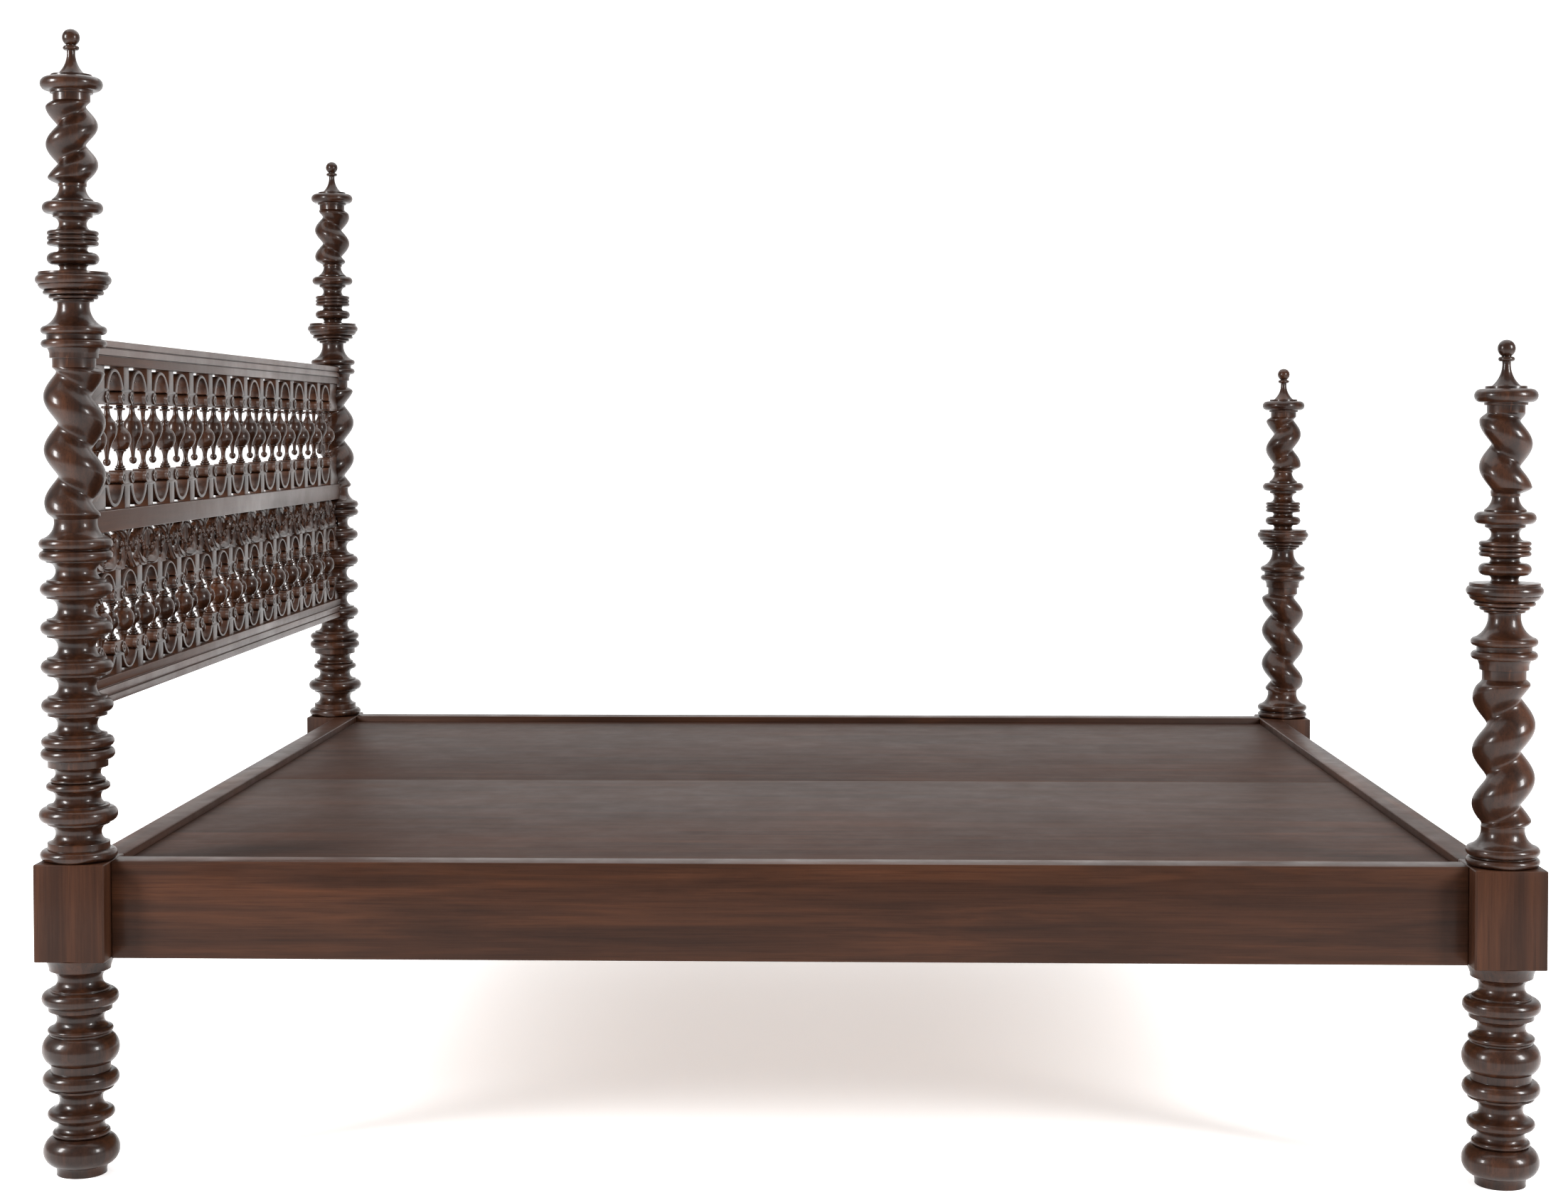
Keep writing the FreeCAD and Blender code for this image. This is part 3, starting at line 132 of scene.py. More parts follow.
# (pitch, height of the hollow on the -X side above the twist's foot)
LONG_TWIST_FORM = {
    "head_left": (79, 144), "head_right": (79, 147), "foot_left": (74, 170), "foot_right": (78.8, 153.7),
}
SHORT_TWIST_FORM = {
    "head_left": (59, 50), "head_right": (57.5, 84), "foot_left": (67, 83), "foot_right": (67, 70.5),
}


def total_height(mouldings):
    return sum(moulding[1] for moulding in mouldings)


# ---------------------------------------------------------------- turned outlines
def arc_points(start, middle, end, steps):
    """Points after start on the circle through three points."""
    (ax, ay), (bx, by), (cx, cy) = start, middle, end
    turn = 2 * (ax * (by - cy) + bx * (cy - ay) + cx * (ay - by))
    if abs(turn) < 1e-6:
        return [middle, end]
    a2, b2, c2 = ax * ax + ay * ay, bx * bx + by * by, cx * cx + cy * cy
    ox = (a2 * (by - cy) + b2 * (cy - ay) + c2 * (ay - by)) / turn
    oy = (a2 * (cx - bx) + b2 * (ax - cx) + c2 * (bx - ax)) / turn
    radius = math.hypot(ax - ox, ay - oy)
    first = math.atan2(ay - oy, ax - ox)
    sweep = (math.atan2(cy - oy, cx - ox) - first) % (2 * math.pi)
    part = (math.atan2(by - oy, bx - ox) - first) % (2 * math.pi)
    if part > sweep:
        sweep -= 2 * math.pi
    return [
        (ox + radius * math.cos(first + sweep * i / steps), oy + radius * math.sin(first + sweep * i / steps))
        for i in range(1, steps + 1)
    ]


def ball_neck(radius, size):
    """Radius of the flat where a ball centred on the axis is cut at a height from its pole."""
    return math.sqrt(radius**2 - (size - radius) ** 2)


def turned_points(mouldings, start_height=0.0):
    """Polyline (radius, height) of a moulding list, from the foot up."""
    points = []

    def put(radius, height):
        if not points or math.dist(points[-1], (radius, height)) > 1e-4:
            points.append((radius, height))

    height = start_height
    for kind, size, *radii in mouldings:
        top, middle = height + size, height + size / 2
        radius = points[-1][0] if points else (0 if kind == "ball_foot" else mouldings[0][2])
        steps = max(6, min(16, int(size * 0.55)))
        if kind == "fillet":
            edge = radii[0]
        elif kind == "bead":
            edge = radii[1] if len(radii) > 1 else radii[0] - size / 2
        elif kind == "cove":
            edge = min(radius, radii[0] + size / 2)
        elif kind == "ball":
            edge = ball_neck(radii[0], size)
        else:
            edge = radii[0] if kind == "step" else radius
        put(edge, height)
        here = (edge, height)
        if kind == "fillet":
            put(edge, top)
        elif kind == "bead":
            for spot in arc_points(here, (radii[0], middle), (edge, top), steps):
                put(*spot)
        elif kind in ("cove", "curve"):
            end = min(radii[1], radii[0] + size / 2) if kind == "cove" else radii[1]
            for spot in arc_points(here, (radii[0], middle), (end, top), steps):
                put(*spot)
        elif kind == "ball":
            for spot in arc_points(here, (radii[0], top - radii[0]), (0, top), 18):
                put(*spot)
        elif kind == "ball_foot":
            neck = ball_neck(radii[0], size)
            for spot in arc_points(here, (radii[0], height + radii[0]), (neck, top), 14):
                put(*spot)
        height = top
    return points


def eased(points, reach, closed=False):
    """Round every corner that turns by more than a threshold over a short reach, as sanding does."""
    threshold = 24
    result = []
    count = len(points)
    for index, here in enumerate(points):
        if not closed and index in (0, count - 1):
            result.append(here)
            continue
        before, after = points[index - 1], points[(index + 1) % count]
        back = Vector(before) - Vector(here)
        ahead = Vector(after) - Vector(here)
        if back.length < 1e-6 or ahead.length < 1e-6:
            result.append(here)
            continue
        if 180 - math.degrees(back.angle(ahead)) < threshold:
            result.append(here)
            continue
        size = min(reach, back.length * 0.4, ahead.length * 0.4)
        start = Vector(here) + back.normalized() * size
        end = Vector(here) + ahead.normalized() * size
        for share in (0.0, 0.33, 0.67, 1.0):
            spot = start * (1 - share) ** 2 + Vector(here) * 2 * share * (1 - share) + end * share**2
            result.append((spot.x, spot.y))
    return result


# ---------------------------------------------------------------- mesh making, in mm
TIP_RADIUS = 0.02  # the least radius of a ring, so that a turning's end is a small cap


def add_grid(bm, rows):
    """Skin a list of closed rings, each a list of 3-D points, and cap both ends."""
    rings = [[bm.verts.new(spot) for spot in row] for row in rows]
    count = len(rings[0])
    for low, high in zip(rings, rings[1:]):
        for i in range(count):
            j = (i + 1) % count
            bm.faces.new((low[i], low[j], high[j], high[i]))
    bm.faces.new(list(reversed(rings[0])))
    bm.faces.new(rings[-1])


def add_lathe(bm, points, centre, segments=96, along="z"):
    """Solid of revolution of (radius, height) points about an upright axis, or one along X."""
    rows = []
    for radius, height in points:
        radius = max(radius, TIP_RADIUS)
        row = []
        for i in range(segments):
            angle = 2 * math.pi * i / segments
            a, b = radius * math.cos(angle), radius * math.sin(angle)
            spot = Vector((a, b, height)) if along == "z" else Vector((height, a, b))
            row.append(spot + Vector(centre))
        rows.append(row)
    add_grid(bm, rows)


def add_box(bm, low, high, bevel):
    part = bmesh.new()
    bmesh.ops.create_cube(part, size=1)
    for vert in part.verts:
        vert.co = Vector(l + (h - l) * (c + 0.5) for l, h, c in zip(low, high, vert.co))
    bmesh.ops.bevel(part, geom=part.edges[:], offset=bevel, segments=3, profile=0.5, affect="EDGES")
    merge(bm, part)


def merge(bm, part):
    mesh = bpy.data.meshes.new("part")
    part.to_mesh(mesh)
    part.free()
    bm.from_mesh(mesh)
    bpy.data.meshes.remove(mesh)


def add_run(bm, section, low, high):
    """Extrude a closed section of (x, z) points along Y, with slightly eased ends."""
    middle = Vector((sum(p[0] for p in section), sum(p[1] for p in section))) / len(section)
    ease = 1.0
    rows = []
    for place, inset in ((low, ease), (low + ease, 0.0), (high - ease, 0.0), (high, ease)):
        row = []
        for spot in section:
            flat = Vector(spot)
            flat += (middle - flat).normalized() * inset
            row.append((flat.x, place, flat.y))
        rows.append(row)
    add_grid(bm, rows)


def add_plate(bm, outline, thickness, ease, lift):
    """Sawn board in the headboard's plane from a closed outline of (y, z) points."""
    curve = bpy.data.curves.new("outline", "CURVE")
    curve.dimensions, curve.fill_mode = "2D", "BOTH"
    curve.extrude = thickness / 2 - ease
    curve.bevel_depth, curve.bevel_resolution, curve.offset = ease, 1, -ease
    spline = curve.splines.new("POLY")
    spline.points.add(len(outline) - 1)
    for point, (y, z) in zip(spline.points, outline):
        point.co = (y, z, 0, 1)
    spline.use_cyclic_u = True
    holder = bpy.data.objects.new("outline", curve)
    bpy.context.scene.collection.objects.link(holder)
    bpy.context.view_layer.update()
    mesh = bpy.data.meshes.new_from_object(holder.evaluated_get(bpy.context.evaluated_depsgraph_get()))
    for vert in mesh.vertices:
        y, z, x = vert.co
        vert.co = (x + BOARD_X, y, z + lift)
    bm.from_mesh(mesh)
    bpy.data.objects.remove(holder)
    bpy.data.curves.remove(curve)
    bpy.data.meshes.remove(mesh)


def piece(name, bm, material, nodes, sharp=38):
    """Finish a mesh as a piece of the bed that stands for its CAD nodes."""
    bmesh.ops.remove_doubles(bm, verts=bm.verts[:], dist=1e-4)
    bmesh.ops.recalc_face_normals(bm, faces=bm.faces[:])
    bmesh.ops.scale(bm, vec=(MM, MM, MM), verts=bm.verts[:])
    mesh = bpy.data.meshes.new(name)
    bm.to_mesh(mesh)
    bm.free()
    mesh.polygons.foreach_set("use_smooth", [True] * len(mesh.polygons))
    mesh.set_sharp_from_angle(angle=math.radians(sharp))
    mesh.materials.append(material)
    item = bpy.data.objects.new(name, mesh)
    bpy.context.scene.collection.objects.link(item)
    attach(item, "root")
    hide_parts(*nodes)


# ---------------------------------------------------------------- materials
def ramp(nodes, stops):
    item = nodes.new("ShaderNodeValToRGB")
    elements = item.color_ramp.elements
    while len(elements) < len(stops):
        elements.new(0.5)
    for element, (place, colour) in zip(elements, stops):
        element.position = place
        element.color = (*colour, 1)
    return item


def noise(nodes, links, vector, scale, detail, roughness=0.55, distortion=0.0):
    item = nodes.new("ShaderNodeTexNoise")
    item.inputs["Scale"].default_value = scale
    item.inputs["Detail"].default_value = detail
    item.inputs["Roughness"].default_value = roughness
    item.inputs["Distortion"].default_value = distortion
    links.new(vector, item.inputs["Vector"])
    return item.outputs["Fac"]


def mix_colour(nodes, links, blend, factor, first, second):
    item = nodes.new("ShaderNodeMix")
    item.data_type, item.blend_type = "RGBA", blend
    for value, socket in ((factor, item.inputs[0]), (first, item.inputs[6]), (second, item.inputs[7])):
        if hasattr(value, "links"):
            links.new(value, socket)
        elif isinstance(value, tuple):
            socket.default_value = (*value, 1)
        else:
            socket.default_value = value
    return item.outputs[2]


def map_range(nodes, links, value, low, high, to_low, to_high):
    item = nodes.new("ShaderNodeMapRange")
    links.new(value, item.inputs["Value"])
    for name, number in (("From Min", low), ("From Max", high), ("To Min", to_low), ("To Max", to_high)):
        item.inputs[name].default_value = number
    return item.outputs["Result"]


def wood(name, grain, dark, mid, warm, rough=(0.27, 0.4), coat=0.22, crevice_shade_reach=0.006, gloss=0.14):
    """Stained, lacquered wood: long figure, fine pores, patchy stain, painted shade in the hollows, rubbed
    edges.
    """
    material = bpy.data.materials.new(name)
    material.use_nodes = True
    nodes, links = material.node_tree.nodes, material.node_tree.links
    shader = nodes["Principled BSDF"]
    coordinates = nodes.new("ShaderNodeTexCoord")
    stretch = {"x": (0.06, 1, 1), "y": (1, 0.06, 1), "z": (1, 1, 0.06)}[grain]
    fine_stretch = {"x": (0.018, 1, 1), "y": (1, 0.018, 1), "z": (1, 1, 0.018)}[grain]
    along = nodes.new("ShaderNodeMapping")
    along.inputs["Scale"].default_value = stretch
    links.new(coordinates.outputs["Object"], along.inputs["Vector"])
    fine = nodes.new("ShaderNodeMapping")
    fine.inputs["Scale"].default_value = fine_stretch
    links.new(coordinates.outputs["Object"], fine.inputs["Vector"])
    figure = noise(nodes, links, along.outputs["Vector"], 34, 5, 0.6, 0.7)
    bands = noise(nodes, links, along.outputs["Vector"], 9, 3, 0.5, 0.4)
    patch = noise(nodes, links, coordinates.outputs["Object"], 3.1, 3)
    pores = noise(nodes, links, fine.outputs["Vector"], 620, 3, 0.6)
    flecks = noise(nodes, links, fine.outputs["Vector"], 210, 2, 0.5)
    figure_colour = ramp(nodes, ((0.32, dark), (0.5, mid), (0.68, warm)))
    links.new(figure, figure_colour.inputs["Fac"])
    band_shade = ramp(nodes, ((0.3, (0.8, 0.8, 0.8)), (0.7, (1.14, 1.12, 1.1))))
    links.new(bands, band_shade.inputs["Fac"])
    colour = mix_colour(
        nodes, links, "MULTIPLY", 0.75, figure_colour.outputs["Color"], band_shade.outputs["Color"])
    patch_shade = ramp(nodes, ((0.3, (0.78, 0.8, 0.82)), (0.72, (1.2, 1.14, 1.1))))
    links.new(patch, patch_shade.inputs["Fac"])
    colour = mix_colour(nodes, links, "MULTIPLY", 0.7, colour, patch_shade.outputs["Color"])
    pore_shade = ramp(nodes, ((0.36, (0.35, 0.33, 0.32)), (0.5, (1, 1, 1))))
    links.new(pores, pore_shade.inputs["Fac"])
    colour = mix_colour(nodes, links, "MULTIPLY", 0.55, colour, pore_shade.outputs["Color"])
    fleck_shade = ramp(nodes, ((0.4, (0.72, 0.7, 0.68)), (0.62, (1.12, 1.08, 1.04))))
    links.new(flecks, fleck_shade.inputs["Fac"])
    colour = mix_colour(nodes, links, "MULTIPLY", 0.5, colour, fleck_shade.outputs["Color"])
    # Painted shade: ambient occlusion darkens the colour in crevices and hollows, where shade falls, down to
    # 0.42 of its tone.
    occlusion = nodes.new("ShaderNodeAmbientOcclusion")
    occlusion.samples = 6
    occlusion.inputs["Distance"].default_value = crevice_shade_reach
    painted_crevice_shade = map_range(nodes, links, occlusion.outputs["AO"], 0.25, 0.95, 0.42, 1.0)
    painted_crevice_shade_colour = nodes.new("ShaderNodeCombineColor")
    for socket in painted_crevice_shade_colour.inputs[:3]:
        links.new(painted_crevice_shade, socket)
    colour = mix_colour(nodes, links, "MULTIPLY", 0.85, colour, painted_crevice_shade_colour.outputs["Color"])
    geometry = nodes.new("ShaderNodeNewGeometry")
    edge = map_range(nodes, links, geometry.outputs["Pointiness"], 0.53, 0.62, 0.0, 0.45)
    worn = tuple(min(1.0, channel * 2.1) for channel in warm)
    colour = mix_colour(nodes, links, "MIX", edge, colour, worn)
    links.new(colour, shader.inputs["Base Color"])
    smudge = noise(nodes, links, coordinates.outputs["Object"], 14, 4, 0.6)
    roughness = map_range(nodes, links, smudge, 0.3, 0.7, *rough)
    links.new(roughness, shader.inputs["Roughness"])
    shader.inputs["Specular IOR Level"].default_value = gloss
    shader.inputs["Coat Weight"].default_value = coat
    shader.inputs["Coat Roughness"].default_value = 0.13
    pore_bump = nodes.new("ShaderNodeBump")
    pore_bump.inputs["Strength"].default_value = 0.16
    pore_bump.inputs["Distance"].default_value = 0.0004
    links.new(pores, pore_bump.inputs["Height"])
    hand = noise(nodes, links, coordinates.outputs["Object"], 55, 2)
    hand_bump = nodes.new("ShaderNodeBump")
    hand_bump.inputs["Strength"].default_value = 0.12
    hand_bump.inputs["Distance"].default_value = 0.0015
    links.new(hand, hand_bump.inputs["Height"])
    links.new(pore_bump.outputs["Normal"], hand_bump.inputs["Normal"])
    links.new(hand_bump.outputs["Normal"], shader.inputs["Normal"])
    return material


def plated_steel(name, tint):
    """Zinc-plated steel with the plating's spangle and faint rolling marks."""
    material = bpy.data.materials.new(name)
    material.use_nodes = True
    nodes, links = material.node_tree.nodes, material.node_tree.links
    shader = nodes["Principled BSDF"]
    coordinates = nodes.new("ShaderNodeTexCoord")
    spangle = nodes.new("ShaderNodeTexVoronoi")
    spangle.inputs["Scale"].default_value = 240
    links.new(coordinates.outputs["Object"], spangle.inputs["Vector"])
    tones = ramp(nodes, ((0.0, tuple(c * 0.8 for c in tint)), (1.0, tint)))
    links.new(spangle.outputs["Distance"], tones.inputs["Fac"])
    links.new(tones.outputs["Color"], shader.inputs["Base Color"])
    scratches = noise(nodes, links, coordinates.outputs["Object"], 380, 3)
    links.new(map_range(nodes, links, scratches, 0.3, 0.7, 0.28, 0.48), shader.inputs["Roughness"])
    shader.inputs["Metallic"].default_value = 1.0
    bump = nodes.new("ShaderNodeBump")
    bump.inputs["Strength"].default_value = 0.1
    bump.inputs["Distance"].default_value = 0.0002
    links.new(scratches, bump.inputs["Height"])
    links.new(bump.outputs["Normal"], shader.inputs["Normal"])
    return material


DARK, MID, WARM = (0.0115, 0.0045, 0.0025), (0.0235, 0.009, 0.0046), (0.0425, 0.0157, 0.0072)
TURNED = wood("turned_wood", "z", DARK, MID, WARM)
SATIN = {"rough": (0.36, 0.5), "coat": 0.04, "gloss": 0.1}
BLOCKS = wood("block_wood", "z", DARK, MID, WARM, **SATIN)
RAIL_X = wood("rail_wood_lengthwise", "x", DARK, MID, WARM, **SATIN)
RAIL_Y = wood("rail_wood_crosswise", "y", DARK, MID, WARM, **SATIN)
GALLERY = wood("gallery_wood", "y", DARK, MID, WARM, rough=(0.32, 0.44), coat=0.14, crevice_shade_reach=0.01, gloss=0.24)
SPINDLES = wood("spindle_wood", "z", DARK, MID, WARM, rough=(0.24, 0.36))
DECK = wood("deck_wood", "x", (0.013, 0.0062, 0.0042), (0.025, 0.0115, 0.0075), (0.04, 0.0175, 0.0105),
            rough=(0.5, 0.57), coat=0.0, gloss=0.05)
RAW_TONES = (0.14, 0.08, 0.045), (0.24, 0.15, 0.09), (0.33, 0.2, 0.12)
RAW_X = wood("raw_wood_lengthwise", "x", *RAW_TONES, rough=(0.55, 0.7), coat=0.0)
RAW_Y = wood("raw_wood_crosswise", "y", *RAW_TONES, rough=(0.55, 0.7), coat=0.0)
PLATE_STEEL = plated_steel("plate_steel", (0.5, 0.5, 0.5))
SCREW_STEEL = plated_steel("screw_steel", (0.66, 0.63, 0.55))

for node, material in {
    "deck_slats": RAW_Y, "ledger_left": RAW_X, "ledger_right": RAW_X, "centre_bearer": RAW_X,
    "rail_hook_plates": PLATE_STEEL, "post_slot_plates": PLATE_STEEL,
    "rail_plate_screws": SCREW_STEEL, "post_plate_screws": SCREW_STEEL, "ledger_screws": SCREW_STEEL,
}.items():
    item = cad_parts[node]
    item.data.materials.clear()
    item.data.materials.append(material)


# ---------------------------------------------------------------- posts
def ridge(phase):
    """Height of the ridge from 0 in the hollow to 1 on the crest; the hollow is a soft V."""
    softness = 0.09
    floor = math.sqrt(softness)
    return (math.sqrt(math.sin(phase / 2) ** 2 + softness) - floor) / (math.sqrt(1 + softness) - floor)


def twist_rings(length, form, hand, radii, bottom, centre):
    """Rings of a single-start barley twist: a round ridge, a soft hollow and rounded-off ends."""
    pitch, hollow_height = form
    crest, hollow, ends = radii
    run_out, columns, row_step = 10, 96, 1.6
    end_rows = [0, 0.6, 1.4, 2.5, 4, 5.5, 7.2, 9]
    twisted_length = length - 2 * run_out
    inner = int(twisted_length / row_step)
    heights = end_rows + [run_out + twisted_length * i / inner for i in range(inner + 1)]
    heights += [length - height for height in reversed(end_rows)]
    rows = []
    for height in heights:
        reach = min(height, length - height, run_out)
        weight = math.sin(math.pi / 2 * reach / run_out)
        end = ends[0] if height < length / 2 else ends[1]
        row = []
        for i in range(columns):
            phase = 2 * math.pi * i / columns
            twisted = hollow + (crest - hollow) * ridge(phase)
            radius = end + (twisted - end) * weight
            angle = phase + math.pi - hand * 2 * math.pi * (height - hollow_height) / pitch
            row.append((centre[0] + radius * math.cos(angle), centre[1] + radius * math.sin(angle),
                        bottom + height))
        rows.append(row)
    return rows


def build_post(corner):
    end = corner.split("_")[0]
    side_x, side_y = CORNERS[corner]
    centre = (side_x * HALF_LENGTH, side_y * HALF_WIDTH, 0)
    hand = side_x * side_y
    ease = 0.7

    def turning(name, mouldings, bottom, node):
        bm = bmesh.new()
        add_lathe(bm, eased(turned_points(mouldings, bottom), ease), centre)
        piece(f"{corner}_{name}", bm, TURNED, [f"{corner}_{node}"])

    def twist(name, length, form, twist_hand, radii, bottom, node):
        bm = bmesh.new()
        add_grid(bm, twist_rings(length, form, twist_hand, radii, bottom, centre))
        piece(f"{corner}_{name}", bm, TURNED, [f"{corner}_{node}"], 50)

    bm = bmesh.new()
    add_lathe(bm, eased(turned_points(LEG), ease), centre)
    add_lathe(bm, eased(turned_points(BASE[end], BLOCK_TOP), ease), centre)
    piece(f"{corner}_leg_turned", bm, TURNED, [f"{corner}_leg"])
    bm = bmesh.new()
    low = (centre[0] - BLOCK_HALF, centre[1] - BLOCK_HALF, BLOCK_BOTTOM)
    high = (centre[0] + BLOCK_HALF, centre[1] + BLOCK_HALF, BLOCK_TOP)
    add_box(bm, low, high, 2.2)
    piece(f"{corner}_block", bm, BLOCKS, [f"{corner}_leg"])
    level = BLOCK_TOP + total_height(BASE[end])
    if end == "head":
        turning("spools", SPOOLS, level, "spool")
        level += total_height(SPOOLS)
    long, short = TWIST_LENGTH[end]
    twist("lower_twist", long, LONG_TWIST_FORM[corner], hand, LONG_TWIST_RADII, level, "long_twist")
    level += long
    turning("bowl_turning", BOWL, level, "bowl")
    level += total_height(BOWL)
    twist("upper_twist", short, SHORT_TWIST_FORM[corner], -hand, SHORT_TWIST_RADII, level, "short_twist")
    level += short
    turning("cap_and_ball", FINIAL, level, "finial")


for corner in CORNERS:
    build_post(corner)


# ---------------------------------------------------------------- bed rails and deck
def node_board(name, node, material, bevel=1.8):
    """Board with eased edges that fills the box of its CAD node."""
    low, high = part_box(node)
    bm = bmesh.new()
    add_box(bm, [c / MM for c in low], [c / MM for c in high], bevel)
    piece(name, bm, material, [node])


node_board("side_rail_left_board", "side_rail_left", RAIL_X)
node_board("side_rail_right_board", "side_rail_right", RAIL_X)
node_board("head_rail_board", "head_rail", RAIL_Y)
node_board("foot_rail_board", "foot_rail", RAIL_Y)
node_board("deck_board_left", "deck_panel_left", DECK, 0.9)
node_board("deck_board_right", "deck_panel_right", DECK, 0.9)


# ---------------------------------------------------------------- headboard rails
def moulded_section(low, fascias):
    """Section (x, z) of a moulded rail: fascias (height, half thickness) with quirks between."""
    outline, level = [], low
    for index, (height, half) in enumerate(fascias):
        outline += [(half, level), (half, level + height)]
        level += height
        if index < len(fascias) - 1:
            quirk = min(half, fascias[index + 1][1]) - QUIRK_DEPTH
            outline += [(quirk, level), (quirk, level + QUIRK_HEIGHT)]
            level += QUIRK_HEIGHT
    outline += [(-x, z) for x, z in reversed(outline)]
    return [(x + BOARD_X, z) for x, z in eased(outline, 1.1, closed=True)]


# The rails and arcades are cut square, 26 mm from the axes of the posts.
RAIL_REACH = HALF_WIDTH - 26
STEP_HALF, PROUD_HALF = RAIL_HALF + FASCIA_STEP, RAIL_HALF + 2 * FASCIA_STEP
for name, low, fascias in (
    ("headboard_top_rail", TOP_RAIL_BOTTOM, [(13.8, RAIL_HALF), (10.5, STEP_HALF), (10.5, PROUD_HALF)]),
    ("headboard_middle_rail", MIDDLE_RAIL_BOTTOM, [(MIDDLE_RAIL_HEIGHT, RAIL_HALF)]),
    ("headboard_bottom_rail", BOTTOM_RAIL_BOTTOM, [(11, PROUD_HALF), (11.5, STEP_HALF), (13.3, RAIL_HALF)]),
):
    bm = bmesh.new()
    add_run(bm, moulded_section(low, fascias), -RAIL_REACH, RAIL_REACH)
    piece(f"{name}_moulding", bm, GALLERY, [name])


# ---------------------------------------------------------------- arcades
CROWN_SHARE = 0.4  # height of a ring's outer crown as a share of the cup's
RIM_REACH, ROLL_REACH = HALF_WIDTH - 80, HALF_WIDTH - 50


def arcade_outline(height, pitch, piers, form):
    """Outline of a horseshoe arcade with its rail side down, and the places of its bays."""
    half_gap, roll, cup_half, cup_low, rim = form
    roll_top = height - ROLL_MARGIN
    roll_low = roll_top - 2 * roll
    outer, hood, edge = half_gap + roll, cup_half + rim, pitch / 2 - PIER_HALF
    cup_top, shoulder = roll_low - ROLL_MARGIN, roll_low - SHOULDER
    bays = [(index - piers / 2) * pitch for index in range(piers + 1)]
    bays = [centre for centre in bays if abs(centre) + outer <= RAIL_REACH]
    outline = [(-RAIL_REACH, 0)]
    for centre in bays:
        hood_left, hood_right = (centre - hood, shoulder), (centre + hood, shoulder)
        outline += [(centre - edge, 0), (centre - edge, shoulder), hood_left]
        outline += arc_points(hood_left, (centre, CROWN_SHARE * cup_low), hood_right, 28)
        outline += [(centre + edge, shoulder), (centre + edge, 0)]
    outline += [(RAIL_REACH, 0), (RAIL_REACH, height)]
    for centre in reversed(bays):
        right, left = centre + outer, centre - outer
        cup_left, cup_right = (centre - cup_half, cup_top), (centre + cup_half, cup_top)
        outline += [(right, height), (right, roll_top)]
        outline += arc_points((right, roll_top), (right - roll, roll_top - roll), (right, roll_low), 8)
        outline += [cup_right]
        outline += arc_points(cup_right, (centre, cup_low), cup_left, 20)
        outline += [(left, roll_low)]
        outline += arc_points((left, roll_low), (left + roll, roll_top - roll), (left, roll_top), 8)
        outline += [(left, height)]
    outline.append((-RAIL_REACH, height))
    return outline, bays


def rim_outline(centre, form, height):
    """Raised ring along a cup, its ends dying under the rolls."""
    roll, cup_half, cup_low, rim = form[1:]
    roll_low = height - ROLL_MARGIN - 2 * roll
    cup_top, shoulder = roll_low - ROLL_MARGIN, roll_low - SHOULDER
    ring = [(centre - cup_half, cup_top)]
    ring += arc_points(ring[0], (centre, cup_low), (centre + cup_half, cup_top), 22)
    start, end = (centre + cup_half + rim - 1, shoulder), (centre - cup_half - rim + 1, shoulder)
    ring += [start] + arc_points(start, (centre, CROWN_SHARE * cup_low + 0.6), end, 22)
    return ring


def flipped(outline, height):
    return [(y, height - z) for y, z in reversed(outline)]


def add_roll(bm, radius, half, y, z):
    """Scroll roll of a capital: a short barrel along X with a button and a ring at both ends."""
    profile = [
        (0, -half - 1.5), (radius * 0.3, -half - 1.3), (radius * 0.42, -half - 0.2),
        (radius * 0.55, -half), (radius * 0.7, -half - 1.0), (radius * 0.92, -half - 0.9),
        (radius, -half), (radius * 0.9, -half * 0.45), (radius * 0.86, 0),
    ]
    profile += [(r, -h) for r, h in reversed(profile[:-1])]
    add_lathe(bm, profile, (BOARD_X, y, z), 24, along="x")


def build_arcade(name, node, height, pitch, piers, form, base, up):
    """up is +1 for a board that stands on its rail and -1 for one that hangs from it."""
    outline, bays = arcade_outline(height, pitch, piers, form)
    rims = []
    if up < 0:
        outline = flipped(outline, height)
        ringed = [centre for centre in bays if abs(centre) < RIM_REACH]
        rims = [flipped(rim_outline(centre, form, height), height) for centre in ringed]
    bm = bmesh.new()
    add_plate(bm, outline, ARCADE_THICKNESS, 0.9, base)
    for ring in rims:
        add_plate(bm, ring, ARCADE_THICKNESS + 3, 1.4, base)
    half_gap, roll = form[:2]
    roll_height = height - ROLL_MARGIN - roll
    level = base + (roll_height if up > 0 else height - roll_height)
    for centre in bays:
        for side in (-1, 1):
            y = centre + side * (half_gap + roll)
            if abs(y) < ROLL_REACH:
                add_roll(bm, roll + 0.6, ARCADE_THICKNESS / 2 + 1.2, y, level)
    piece(name, bm, GALLERY, [node])


MIDDLE_RAIL_TOP = MIDDLE_RAIL_BOTTOM + MIDDLE_RAIL_HEIGHT
BOTTOM_RAIL_TOP = BOTTOM_RAIL_BOTTOM + BOTTOM_RAIL_HEIGHT
FOLIAGE_BOTTOM = MIDDLE_RAIL_BOTTOM - FOLIAGE_HEIGHT
UPPER_HANGING = TOP_RAIL_BOTTOM - UPPER_ARCADE_HEIGHT
LOWER_HANGING = FOLIAGE_BOTTOM - LOWER_ARCADE_HEIGHT
UPPER_ARCADE = (UPPER_ARCADE_HEIGHT, UPPER_PITCH, UPPER_PIERS, UPPER_FORM)
LOWER_ARCADE = (LOWER_ARCADE_HEIGHT, LOWER_PITCH, LOWER_PIERS, LOWER_FORM)
build_arcade("upper_arcade_standing", "upper_arcade_low", *UPPER_ARCADE, MIDDLE_RAIL_TOP, 1)
